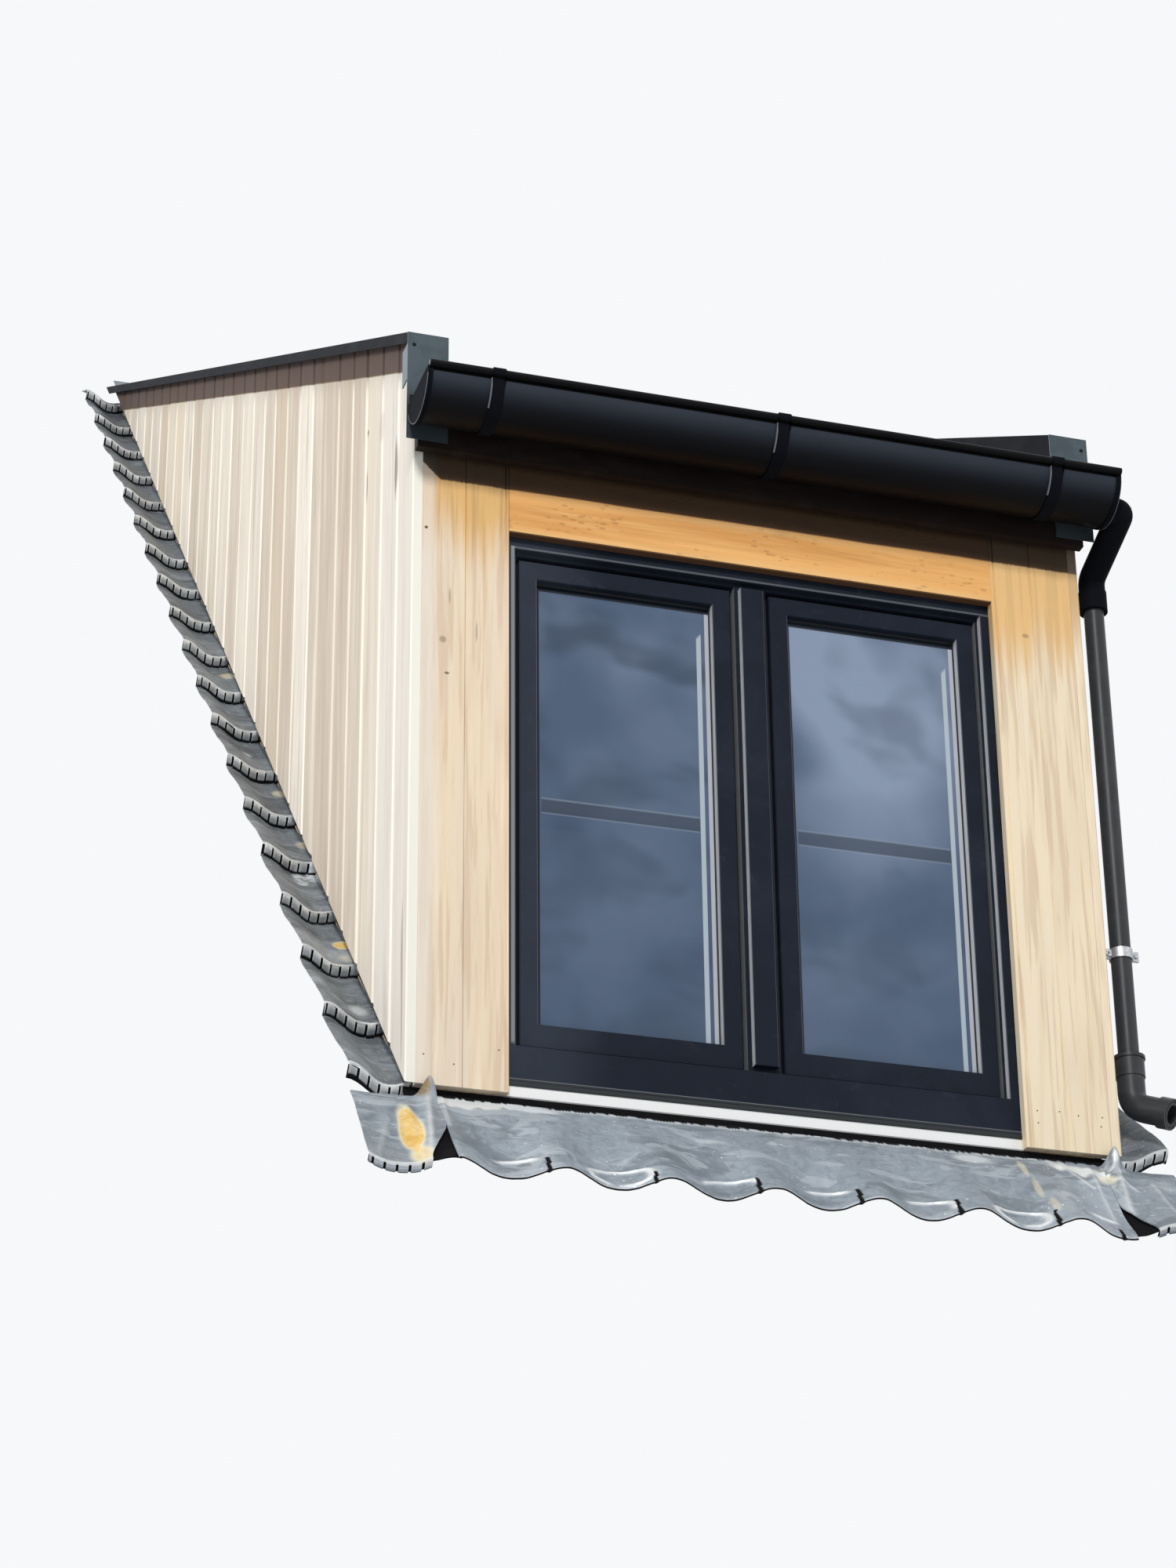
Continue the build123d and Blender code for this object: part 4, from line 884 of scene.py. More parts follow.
NODE_FINISH = {
    "front_sill_beam": "softwood_x", "sole_plates": "softwood_y", "front_posts": "softwood",
    "header_beam": "softwood_x", "roof_rafters": "softwood_y", "lay_board": "softwood_x",
    "roof_deck": "strand", "roof_membrane": "membrane", "verge_kerbs": "softwood_y",
    "front_sheathing": "strand", "lintel_board": "lintel", "window_frame": "foil", "window_mullion": "foil",
    "glazing_bars": "bar", "sub_sill": "white", "fascia_board": "fascia", "gutter": "gutter",
    "gutter_ends": "gutter", "gutter_brackets": "gutter", "downpipe_neck": "pipe", "downpipe": "pipe",
    "downpipe_shoe": "pipe", "downpipe_clamp": "steel", "front_apron": "lead", "top_flashing": "lead",
}
SIDED_FINISH = {
    "cheek_studs": "softwood", "cheek_sheathing": "strand", "cheek_lining": "lining", "battens": "softwood_y",
    "cheek_cladding": "cheek", "front_boards": "front", "sash": "foil", "glass": "glass",
    "verge_trim": "trim", "verge_end_plate": "plate", "side_flashing": "lead", "corner_flashing": "lead",
}
for _, side_name in SIDES:
    NODE_FINISH.update({side_name + "_" + part: finish for part, finish in SIDED_FINISH.items()})


# Mesh helpers

def clean(mesh):
    """Joins doubled points, drops loose ones and turns all faces outwards."""
    work = bmesh.new()
    work.from_mesh(mesh)
    bmesh.ops.remove_doubles(work, verts=work.verts, dist=1e-6)
    bmesh.ops.delete(work, geom=[point for point in work.verts if not point.link_faces], context="VERTS")
    bmesh.ops.recalc_face_normals(work, faces=work.faces)
    work.to_mesh(mesh)
    work.free()


class Builder:
    """Points and faces of one mesh, put together from simple solids."""

    def __init__(self):
        self.points = []
        self.faces = []
        self.tones = []
        self.shine_wear_shades = []

    def add(self, points, faces, tones, shine_wear_shades):
        start = len(self.points)
        self.points += [tuple(point) for point in points]
        self.faces += [[start + index for index in face] for face in faces]
        self.tones += tones
        self.shine_wear_shades += shine_wear_shades

    def loft(self, rings, tone=0.0, caps=True):
        """Skin over rings with the same number of points; tone may be a list, one for each side."""
        count = len(rings[0])
        sides = tone if isinstance(tone, list) else [tone] * count
        faces = []
        for ring in range(len(rings) - 1):
            a, b = ring * count, (ring + 1) * count
            for index in range(count):
                after = (index + 1) % count
                faces.append([a + index, a + after, b + after, b + index])
        tones = [float(value) for value in sides] * (len(rings) - 1)
        if caps:
            faces.append(list(range(count))[::-1])
            faces.append([(len(rings) - 1) * count + index for index in range(count)])
            tones += [0.0 if isinstance(tone, list) else tone] * 2
        points = [point for ring in rings for point in ring]
        self.add(points, faces, tones, [0.0] * len(points))

    def bar(self, section, start, end, tone=0.0):
        """Straight bar: a section of (y, z) run along X."""
        self.loft([[(x, y, z) for y, z in section] for x in (start, end)], tone)

    def post(self, plan, foot, head, tone=0.0):
        """Upright bar: a plan of (x, y) run up Z."""
        self.loft([[(x, y, z) for x, y in plan] for z in (foot, head)], tone)

    def disc(self, centre, axis, radius, height, sides):
        """Round head or plug standing on a surface."""
        axis = Vector(axis).normalized()
        side = axis.orthogonal().normalized()
        other = axis.cross(side)
        rings = []
        for level, size in ((0.0, 1.0), (0.7, 1.0), (1.0, 0.82)):
            ring = []
            for index in range(sides):
                turn = FULL_TURN * index / sides
                out = side * math.cos(turn) + other * math.sin(turn)
                ring.append(Vector(centre) + axis * height * level + out * radius * size)
            rings.append(ring)
        self.loft(rings)

    def make(self, name, finish, replaces=(), smooth=False, edge=0.0):
        """One object of the dressed model, in place, riding on the dormer."""
        mesh = bpy.data.meshes.new(name)
        mesh.from_pydata(self.points, [], self.faces)
        for label, domain, values in (("tone", "FACE", self.tones), ("shine_wear_shade", "POINT", self.shine_wear_shades)):
            mesh.attributes.new(label, "FLOAT", domain).data.foreach_set("value", values)
        clean(mesh)
        made = bpy.data.objects.new(name, mesh)
        bpy.context.scene.collection.objects.link(made)
        mesh.materials.append(finish_for(finish))
        if smooth:
            mesh.shade_smooth()
            mesh.set_sharp_from_angle(angle=math.radians(38))
        if edge:
            bevel = made.modifiers.new("edge", "BEVEL")
            bevel.width = edge
            bevel.segments = 2
            bevel.limit_method = "ANGLE"
            bevel.angle_limit = math.radians(40)
        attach(made, "root")
        if replaces:
            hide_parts(*replaces)


def tube_rings(path, radius, sides=40):
    """Rings of a round pipe along a path, without twist."""
    rings = []
    side = None
    for index, point in enumerate(path):
        ahead = path[min(index + 1, len(path) - 1)] - path[max(index - 1, 0)]
        way = ahead.normalized()
        if side is None:
            side = way.orthogonal().normalized()
        side = (side - way * side.dot(way)).normalized()
        other = way.cross(side)
        turns = [FULL_TURN * k / sides for k in range(sides)]
        rings.append([point + (side * math.cos(turn) + other * math.sin(turn)) * radius for turn in turns])
    return rings


def pipe_shell(builder, path, radius, wall):
    """Open-ended pipe with a wall."""
    outer = tube_rings(path, radius)
    inner = tube_rings(path, radius - wall)
    builder.loft(outer + inner[::-1] + [outer[0]], caps=False)


def upright(x, y, *heights):
    """Points above one another."""
    return [Vector((x, y, z)) for z in heights]


def rounded_path(points, radius, steps=8):
    """Path with each corner rounded by an arc."""
    path = [points[0]]
    for before, corner, after in zip(points, points[1:], points[2:]):
        to_before = (before - corner).normalized()
        to_after = (after - corner).normalized()
        half = to_before.angle(to_after) / 2
        reach = min(radius / math.tan(half), (before - corner).length * 0.49, (after - corner).length * 0.49)
        start = corner + to_before * reach
        end = corner + to_after * reach
        for step in range(steps + 1):
            t = step / steps
            path.append(start.lerp(corner, t).lerp(corner.lerp(end, t), t))
    path.append(points[-1])
    return path


# Boards

class DORMER_OT_cheek_boards(bpy.types.Operator):
    """Upright boards on both cheeks, each with a channel at its front edge, cut to the roofs"""

    bl_idname = "dormer.cheek_boards"
    bl_label = "Cheek Boards"

    def execute(self, context):
        settings = context.scene.dormer_boards
        for side, name in SIDES:
            self.cheek(settings, side, name)
        return {"FINISHED"}

    @staticmethod
    def joints(settings, rng):
        """Places of the joints, from the front edge to the apex."""
        places = [FRONT_Y]
        y = FRONT_Y + settings.first
        while y < clad_high.y - 0.08:
            places.append(y + rng.uniform(-0.5, 0.5) * settings.uneven)
            y += settings.pitch
        places[WIDE_BEVEL] += 0.034
        return places + [clad_high.y]

    def cheek(self, settings, side, name):
        rng = random.Random(settings.seed)
        boards = Builder()
        places = self.joints(settings, rng)
        gap = 0.0003
        back = HALF_WIDTH - settings.thickness
        for index, (y0, y1) in enumerate(zip(places, places[1:])):
            face = HALF_WIDTH + rng.uniform(-0.0008, 0.0)
            depth = settings.channel_depth + rng.uniform(-0.001, 0.001)
            bevel = 0.024 if index == WIDE_BEVEL else 0.0055
            floor = y0 + settings.channel + rng.uniform(-0.003, 0.003)
            plan = [(back, y0 + gap), (back, y1 - gap), (face, y1 - gap)]
            if index:
                plan += [(face, floor + bevel), (face - depth * 0.75, floor), (face - depth, floor)]
                plan += [(face - depth, y0 + gap)]
            else:
                plan += [(face, y0 + 0.003), (face - 0.003, y0 + gap)]
            low = [(side * x, y, cheek_foot(y)) for x, y in plan]
            high = [(side * x, y, max(cheek_top(y), cheek_foot(y) + 0.0004)) for x, y in plan]
            tone = CHEEK_TONES[index] if index < len(CHEEK_TONES) else rng.uniform(0.25, 0.85)
            boards.loft([low, high], tone)
        boards.make(name + "_cheek_boards", "cheek", (name + "_cheek_cladding",))


class DORMER_OT_front_boards(bpy.types.Operator):
    """Boards beside and over the window, with their nails"""

    bl_idname = "dormer.front_boards"
    bl_label = "Front Boards"

    def execute(self, context):
        for side, name in SIDES:
            self.beside(side, name)
        self.over()
        return {"FINISHED"}

    @staticmethod
    def beside(side, name):
        boards = Builder()
        middle = (board_low.x + board_high.x) / 2
        joint = 0.0002
        y0, y1 = board_low.y, board_high.y
        arris, floor = 0.0016, y0 + 0.0022
        for index, (x0, x1) in enumerate(((board_low.x, middle - joint), (middle + joint, board_high.x))):
            plan = [(x0, y1), (x0, y0 + arris), (x0 + arris, y0)]
            if index == 0:
                plan += [(x0 + 0.006, y0), (x0 + 0.0068, floor), (x0 + 0.0092, floor), (x0 + 0.010, y0)]
            plan += [(x1 - arris * 0.5, y0), (x1, y0 + arris * 0.5), (x1, y1)]
            tone = 0.13 + 0.31 * index + (0.22 if side > 0 else 0.0)
            boards.post([(side * x, y) for x, y in plan], board_low.z, board_high.z, tone)
        boards.make(name + "_boards", "front", (name + "_front_boards",))
        nails = Builder()
        rng = random.Random(5 + side)
        for level in (0.055, 0.085):
            for x in (board_low.x + 0.024, middle - 0.02, middle + 0.022, board_high.x - 0.02):
                if rng.random() < 0.3:
                    continue
                place = (
                    side * (x + rng.uniform(-0.006, 0.006)), y0 + 0.0002,
                    board_low.z + level + rng.uniform(-0.010, 0.010),
                )
                nails.disc(place, (0, -1, 0), 0.0016, 0.0005, 10)
        nails.make(name + "_board_nails", "seal", smooth=True)

    @staticmethod
    def over():
        low, high = lintel_low, lintel_high
        board = Builder()
        arris = 0.002
        section = [
            (high.y, low.z), (high.y, high.z), (low.y + arris, high.z), (low.y, high.z - arris),
            (low.y, low.z + arris), (low.y + arris, low.z),
        ]
        board.bar(section, low.x, high.x)
        board.make("lintel_plank", "lintel", ("lintel_board",))


# Window

CORNERS = ((0, 0), (1, 0), (1, 1), (0, 1))


def nested(builder, rects, tones=0.0):
    """Mitred frame round a closed profile; each point of it is a rectangle (x0, x1, z0, z1) at y."""
    turns = CORNERS + CORNERS[:1]
    rings = [[(rect[right], y, rect[2 + upper]) for rect, y in rects] for right, upper in turns]
    builder.loft(rings, tones, caps=False)


def grown(rect, by):
    """Rectangle grown on all four sides."""
    return (rect[0] - by, rect[1] + by, rect[2] - by, rect[3] + by)


class DORMER_OT_window(bpy.types.Operator):
    """Outer frame, mullion, sashes, panes, seals and room-side profiles"""

    bl_idname = "dormer.window"
    bl_label = "Window"

    def execute(self, context):
        settings = context.scene.dormer_window
        self.outer_frame(settings)
        self.mullion(settings)
        for side, name in SIDES:
            self.sash(side, name)
            self.panes(settings, side, name)
        return {"FINISHED"}

    @staticmethod
    def outer_frame(settings):
        y0, y1 = frame_low.y, frame_high.y
        step = y0 + settings.rebate
        outer = (frame_low.x, frame_high.x, frame_low.z, frame_high.z)
        nib = (-NIB_X, NIB_X, NIB_Z0, NIB_Z1)
        ledge = (-LEDGE_X, LEDGE_X, LEDGE_Z0, LEDGE_Z1)
        ring = Builder()
        rects = [
            (outer, y1), (outer, y0 + 0.003), (grown(outer, -0.003), y0), (grown(nib, 0.0014), y0),
            (nib, y0 + 0.0014), (nib, step), (ledge, step), (ledge, y1),
        ]
        # Tones mark the side walls that take the painted highlight of lit walls
        nested(ring, rects, [0, 0, 0, 0.6, 1.0, 0.15, 0.38, 0])
        drip = ((0.0005, 0.0), (0.0005, 0.012), (0.0, 0.012), (-0.003, 0.009), (-0.003, 0.003), (-0.002, 0.0))
        ring.bar([(y0 + out, frame_low.z + up) for out, up in drip], frame_low.x, frame_high.x)
        ring.make("outer_frame", "foil", ("window_frame",))
        sill = Builder()
        low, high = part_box("sub_sill")
        foot = low.z - 0.0040
        lip = foot + 0.0022
        section = [
            (high.y, high.z), (low.y, high.z), (low.y, lip), (low.y + 0.0008, lip),
            (low.y + 0.0008, foot), (low.y + 0.004, foot), (low.y + 0.004, low.z), (high.y, low.z),
        ]
        # Tones paint the faces below the front strip dark grey as shade
        tones = [0.0, 0.0, 0.8, 0.65, 0.8, 0.8, 0.8, 0.0]
        sill.bar(section, low.x, high.x, tones)
        sill.make("sill_packer", "sill_white", ("sub_sill",))

    @staticmethod
    def mullion(settings):
        post = Builder()
        y0, y1 = mullion_low.y, mullion_high.y
        step = y0 + settings.rebate
        face, ledge, arris = POST_FACE, POST_LEDGE, 0.0014
        plan = [
            (-face, step), (-face, y0 + arris), (-face + arris, y0), (face - arris, y0), (face, y0 + arris),
            (face, step),
        ]
        # Tones here and below mark walls painted as lit
        post.post(plan, NIB_Z0 + 0.014, NIB_Z1 - 0.015, [1.0, 0.9, 0, 0.6, 1.0, 0])
        plan = [(-ledge, y1), (-ledge, step), (ledge, step), (ledge, y1)]
        post.post(plan, LEDGE_Z0, LEDGE_Z1, [0.38, 0.15, 0.38, 0])
        post.make("mullion_post", "foil", ("window_mullion",))

    @staticmethod
    def mirrored(side, rect):
        x0, x1 = sorted((side * rect[0], side * rect[1]))
        return (x0, x1, rect[2], rect[3])

    def sash(self, side, name):
        face = sash_low.y + 0.004
        outer = self.mirrored(side, SASH_RECT)
        inner = self.mirrored(side, SASH_LIGHT)
        bed = grown(inner, 0.012)
        ring = Builder()
        rects = [
            (outer, GLASS_Y + 0.014), (outer, face + 0.002), (grown(outer, -0.002), face),
            (grown(inner, 0.0015), face), (inner, face + 0.0015), (inner, GLASS_Y - 0.0004),
            (bed, GLASS_Y - 0.0004), (bed, GLASS_Y + 0.014),
        ]
        # Tones mark the side walls that take the painted highlight of lit walls
        nested(ring, rects, [0, 0, 0, 0.7, 1.15, 0, 0, 0])
        front = face - 0.00012
        for right, upper in CORNERS:
            self.weld(ring, *(Vector((rect[right], front, rect[2 + upper])) for rect in (outer, inner)))
        ring.make(name + "_sash_frame", "foil", (name + "_sash",))
        white = Builder()
        bed, bead = grown(inner, 0.0125), grown(inner, 0.001)
        nested(white, [
            (outer, sash_high.y), (outer, GLASS_Y + 0.0145), (bed, GLASS_Y + 0.0145), (bed, glass_high.y),
            (bead, glass_high.y), (bead, glass_high.y + 0.008), (grown(inner, 0.014), sash_high.y),
        ])
        white.make(name + "_sash_room_side", "white")
        seal = Builder()
        nested(seal, [
            (grown(inner, 0.002), GLASS_Y - 0.0003), (grown(inner, 0.002), GLASS_Y - 0.003),
            (grown(inner, -0.0018), GLASS_Y - 0.0024), (grown(inner, -0.0030), GLASS_Y - 0.0003),
        ])
        rebate = self.mirrored(side, grown((POST_LEDGE, LEDGE_X, LEDGE_Z0, LEDGE_Z1), -0.0001))
        rim = grown(outer, 0.0001)
        nested(seal, [(rebate, -0.036), (rebate, -0.040), (rim, -0.044), (rim, -0.038)])
        seal.make(name + "_window_seals", "seal")

    @staticmethod
    def weld(builder, outer, inner):
        """Thin seam over a mitre, from the outer corner to the inner one."""
        along = (inner - outer).normalized()
        across = Vector((-along.z, 0, along.x)) * 0.0005
        sink = Vector((0, 0.0004, 0))
        builder.loft([
            [p - across, p + across, p + across + sink, p - across + sink]
            for p in (outer + along * 0.003, inner - along * 0.0025)
        ])

    def panes(self, settings, side, name):
        inner = self.mirrored(side, SASH_LIGHT)
        edge, sight = grown(inner, 0.0105), grown(inner, -settings.spacer)
        y0, y1 = GLASS_Y + settings.pane, glass_high.y - 0.0005
        plan = [(edge[0], GLASS_Y), (edge[1], GLASS_Y), (edge[1], y0), (edge[0], y0)]
        panes = Builder()
        panes.post(plan, edge[2], edge[3])
        panes.make(name + "_outer_pane", "glass", (name + "_glass",))
        spacer = Builder()
        nested(spacer, [(edge, y0), (sight, y0), (sight, y1), (edge, y1)])
        spacer.make(name + "_spacer", "bar")


# Gutter and downpipe

def arc(radius, start, end, steps, y=GUTTER_Y, z=GUTTER_Z):
    """Points (y, z) of a round stretch, by default about the gutter's axis, from its back to its front."""
    turns = [start + (end - start) * index / steps for index in range(steps + 1)]
    return [(y + radius * math.cos(turn), z - radius * math.sin(turn)) for turn in turns]


class DORMER_OT_gutter(bpy.types.Operator):
    """Half-round gutter with its rolled front, brackets and stop ends"""

    bl_idname = "dormer.gutter"
    bl_label = "Gutter"

    def execute(self, context):
        settings = context.scene.dormer_eaves
        self.trough(settings)
        self.brackets(settings)
        self.ends()
        return {"FINISHED"}

    @staticmethod
    def trough(settings):
        rear, rim = GUTTER_Y + GUTTER_RADIUS, GUTTER_Z + 0.024
        outline = [(rear - settings.wall, rim), (rear, rim)]
        outline += arc(GUTTER_RADIUS, 0.0, math.pi, 40)
        outline += arc(ROLL_RADIUS, -1.72 * math.pi, -0.22 * math.pi, 18, ROLL_Y, ROLL_Z)
        outline += arc(GUTTER_RADIUS - settings.wall, math.pi, 0.0, 40)
        body = Builder()
        body.bar(outline, gutter_low.x, gutter_high.x)
        body.make("gutter_trough", "gutter", ("gutter",), smooth=True)

    @staticmethod
    def brackets(settings):
        straps = Builder()
        lit = Builder()
        under, over = GUTTER_RADIUS + 0.0004, GUTTER_RADIUS + 0.0042
        hook = (ROLL_Y + 0.0007, ROLL_Z)
        outline = arc(over, 0.02, math.pi, 30)
        outline += arc(0.0118, -1.25 * math.pi, -0.20 * math.pi, 12, *hook)
        outline += arc(0.0092, -0.20 * math.pi, -1.25 * math.pi, 12, *hook)
        outline += arc(under, math.pi, 0.02, 30)
        # Painted highlight: a pale strip on each strap's left edge
        lip = arc(over + 0.0008, 0.72 * math.pi, 0.965 * math.pi, 14)
        lip += arc(under, 0.965 * math.pi, 0.72 * math.pi, 14)
        for index in (-1, 0, 1):
            left = index * settings.strap_spacing - settings.strap / 2
            lit.bar(lip, left - 0.0022, left + 0.0002)
            straps.bar(outline, left, left + settings.strap)
        node = ("gutter_brackets",)
        straps.make("gutter_straps", "gutter_end", node, smooth=True, edge=0.0009)
        lit.make("gutter_strap_edges", "highlight_edge", smooth=True)

    @staticmethod
    def ends():
        caps = Builder()
        rims = Builder()
        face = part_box("gutter_ends")[1].x
        rim, collar = face - 0.006, face - 0.011
        disc = arc(GUTTER_RADIUS + 0.0022, 0.0, math.pi, 40)
        ring = arc(GUTTER_RADIUS + 0.0034, 0.0, math.pi, 40) + arc(GUTTER_RADIUS - 0.004, math.pi, 0.0, 40)
        # Painted glints: pale rims round the stop ends and discs on the roll's ends
        edge = arc(GUTTER_RADIUS + 0.0024, 0.10 * math.pi, 0.93 * math.pi, 34)
        edge += arc(GUTTER_RADIUS + 0.0012, 0.93 * math.pi, 0.10 * math.pi, 34)
        for side, _ in SIDES:
            caps.bar(disc, side * rim, side * face)
            caps.bar(ring, side * collar, side * rim)
            rims.bar(edge, side * (face - 0.0006), side * (face + 0.0004))
            rims.disc((side * (gutter_high.x + 0.0002), ROLL_Y, ROLL_Z), (side, 0, 0), 0.0062, 0.0006, 18)
            for turn, size in ((0.62, 0.0032), (2.30, 0.0026)):
                ((y, z),) = arc(GUTTER_RADIUS * 0.86, turn, turn, 1)[:1]
                caps.disc((side * face, y, z), (side, 0, 0), size, 0.0004, 12)
        rims.make("stop_end_rims", "highlight_edge", smooth=True)
        caps.make("gutter_stop_ends", "gutter_end", ("gutter_ends",), smooth=True)


class DORMER_OT_downpipe(bpy.types.Operator):
    """Swan neck, pipe, shoe and clamp on the right-hand cheek"""

    bl_idname = "dormer.downpipe"
    bl_label = "Downpipe"

    def execute(self, context):
        x = (pipe_low.x + pipe_high.x) / 2
        y = (pipe_low.y + pipe_high.y) / 2
        self.neck(x, y)
        self.pipe(x, y)
        self.shoe(x, y)
        self.clamp(x, y)
        return {"FINISHED"}

    @staticmethod
    def neck(x, y):
        low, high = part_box("downpipe_neck")
        start, collar, bend = (Vector((low.x + out, GUTTER_Y, high.z - 0.029)) for out in (0.0, 0.012, 0.038))
        path = [start, bend] + upright(x, y, low.z + 0.081, low.z + 0.045)
        body = Builder()
        pipe_shell(body, rounded_path(path, 0.034), 0.029, 0.0025)
        pipe_shell(body, upright(x, y, low.z + 0.048, low.z), 0.031, 0.0085)
        pipe_shell(body, [start, collar], 0.0325, 0.004)
        # Painted shade: the neck takes the gutter's black, standing in for the shadow over it
        body.make("neck_fitting", "gutter_end", ("downpipe_neck",), smooth=True)

    @staticmethod
    def pipe(x, y):
        body = Builder()
        pipe_shell(body, upright(x, y, pipe_low.z, pipe_high.z), 0.022, 0.0025)
        body.make("straight_pipe", "pipe", ("downpipe",), smooth=True)

    @staticmethod
    def shoe(x, y):
        out = Vector((0.60, -0.70, -0.39)).normalized()
        top = pipe_low.z
        start, knee = upright(x, y, top, top - 0.062)
        end = knee + out * 0.092
        body = Builder()
        pipe_shell(body, rounded_path([start, knee, end], 0.045), 0.029, 0.009)
        pipe_shell(body, [end - out * 0.026, end], 0.033, 0.0085)
        pipe_shell(body, upright(x, y, top, top + 0.045), 0.031, 0.0085)
        pipe_shell(body, upright(x, y, top + 0.040, top + 0.047), 0.0335, 0.004)
        body.make("shoe_elbow", "pipe", ("downpipe_shoe",), smooth=True)

    @staticmethod
    def clamp(x, y):
        bolts = Builder()
        middle = (clamp_low.z + clamp_high.z) / 2
        for side, _ in SIDES:
            bolt_x = x + side * 0.033
            bolts.disc((bolt_x, y - 0.003, middle), (0, -1, 0), 0.0055, 0.004, 6)
            bolts.disc((bolt_x, y + 0.003, middle), (0, 1, 0), 0.0050, 0.004, 6)
        bolts.make("clamp_bolts", "steel")


# Lead

def tile_wave(x, settings):
    """Depth of the lead over the tiles, from a crest to a broader pan."""
    turn = FULL_TURN * (x - settings.crest_x) / settings.cover
    part = (1 - math.cos(turn)) / 2 + 0.12 * (1 - math.cos(2 * turn)) / 2
    return settings.crest + (settings.pan - settings.crest) * part


def smooth_step(low, high, value):
    t = min(max((value - low) / (high - low), 0.0), 1.0)
    return t * t * (3 - 2 * t)


def dents(x, run, settings):
    """Hammered unevenness of a sheet."""
    soft = noise.noise(Vector((x * 14, run * 14, 0.3)))
    fine = noise.noise(Vector((x * 55, run * 55, 4.1)))
    return settings.dent * (1.6 * soft + 0.5 * fine)


def sheet(builder, columns, rows, point, thick, keep=None, shine_wear_shade=0.0, tone=0.0):
    """Sheet over a grid of (u, v), closed all round; point(u, v, down) gives a place, down its thickness.
    Cells that keep(u, v) refuses are left open; the points' mark is a number or a function of (u, v), which
    paints highlights with some wear above 0 and shade in black below 0."""
    count = len(rows)
    top = [point(u, v, 0.0) for u in columns for v in rows]
    low = [point(u, v, thick) for u in columns for v in rows]
    under = len(top)
    cells = {
        (i, j) for i in range(len(columns) - 1) for j in range(count - 1)
        if keep is None or keep((columns[i] + columns[i + 1]) / 2, (rows[j] + rows[j + 1]) / 2)
    }
    faces = []
    for i, j in sorted(cells):
        a, b = i * count + j, (i + 1) * count + j
        c, d = b + 1, a + 1
        faces += [[a, b, c, d], [under + a, under + d, under + c, under + b]]
        for beside, p, q in (((i, j - 1), a, b), ((i + 1, j), b, c), ((i, j + 1), c, d), ((i - 1, j), d, a)):
            if beside not in cells:
                faces.append([p, under + p, under + q, q])
    shine_wear_shades = [shine_wear_shade(u, v) if callable(shine_wear_shade) else shine_wear_shade for u in columns for v in rows]
    builder.add(top + low, faces, [tone] * len(faces), shine_wear_shades + shine_wear_shades)


def evenly(start, end, steps):
    return [start + (end - start) * index / steps for index in range(steps + 1)]


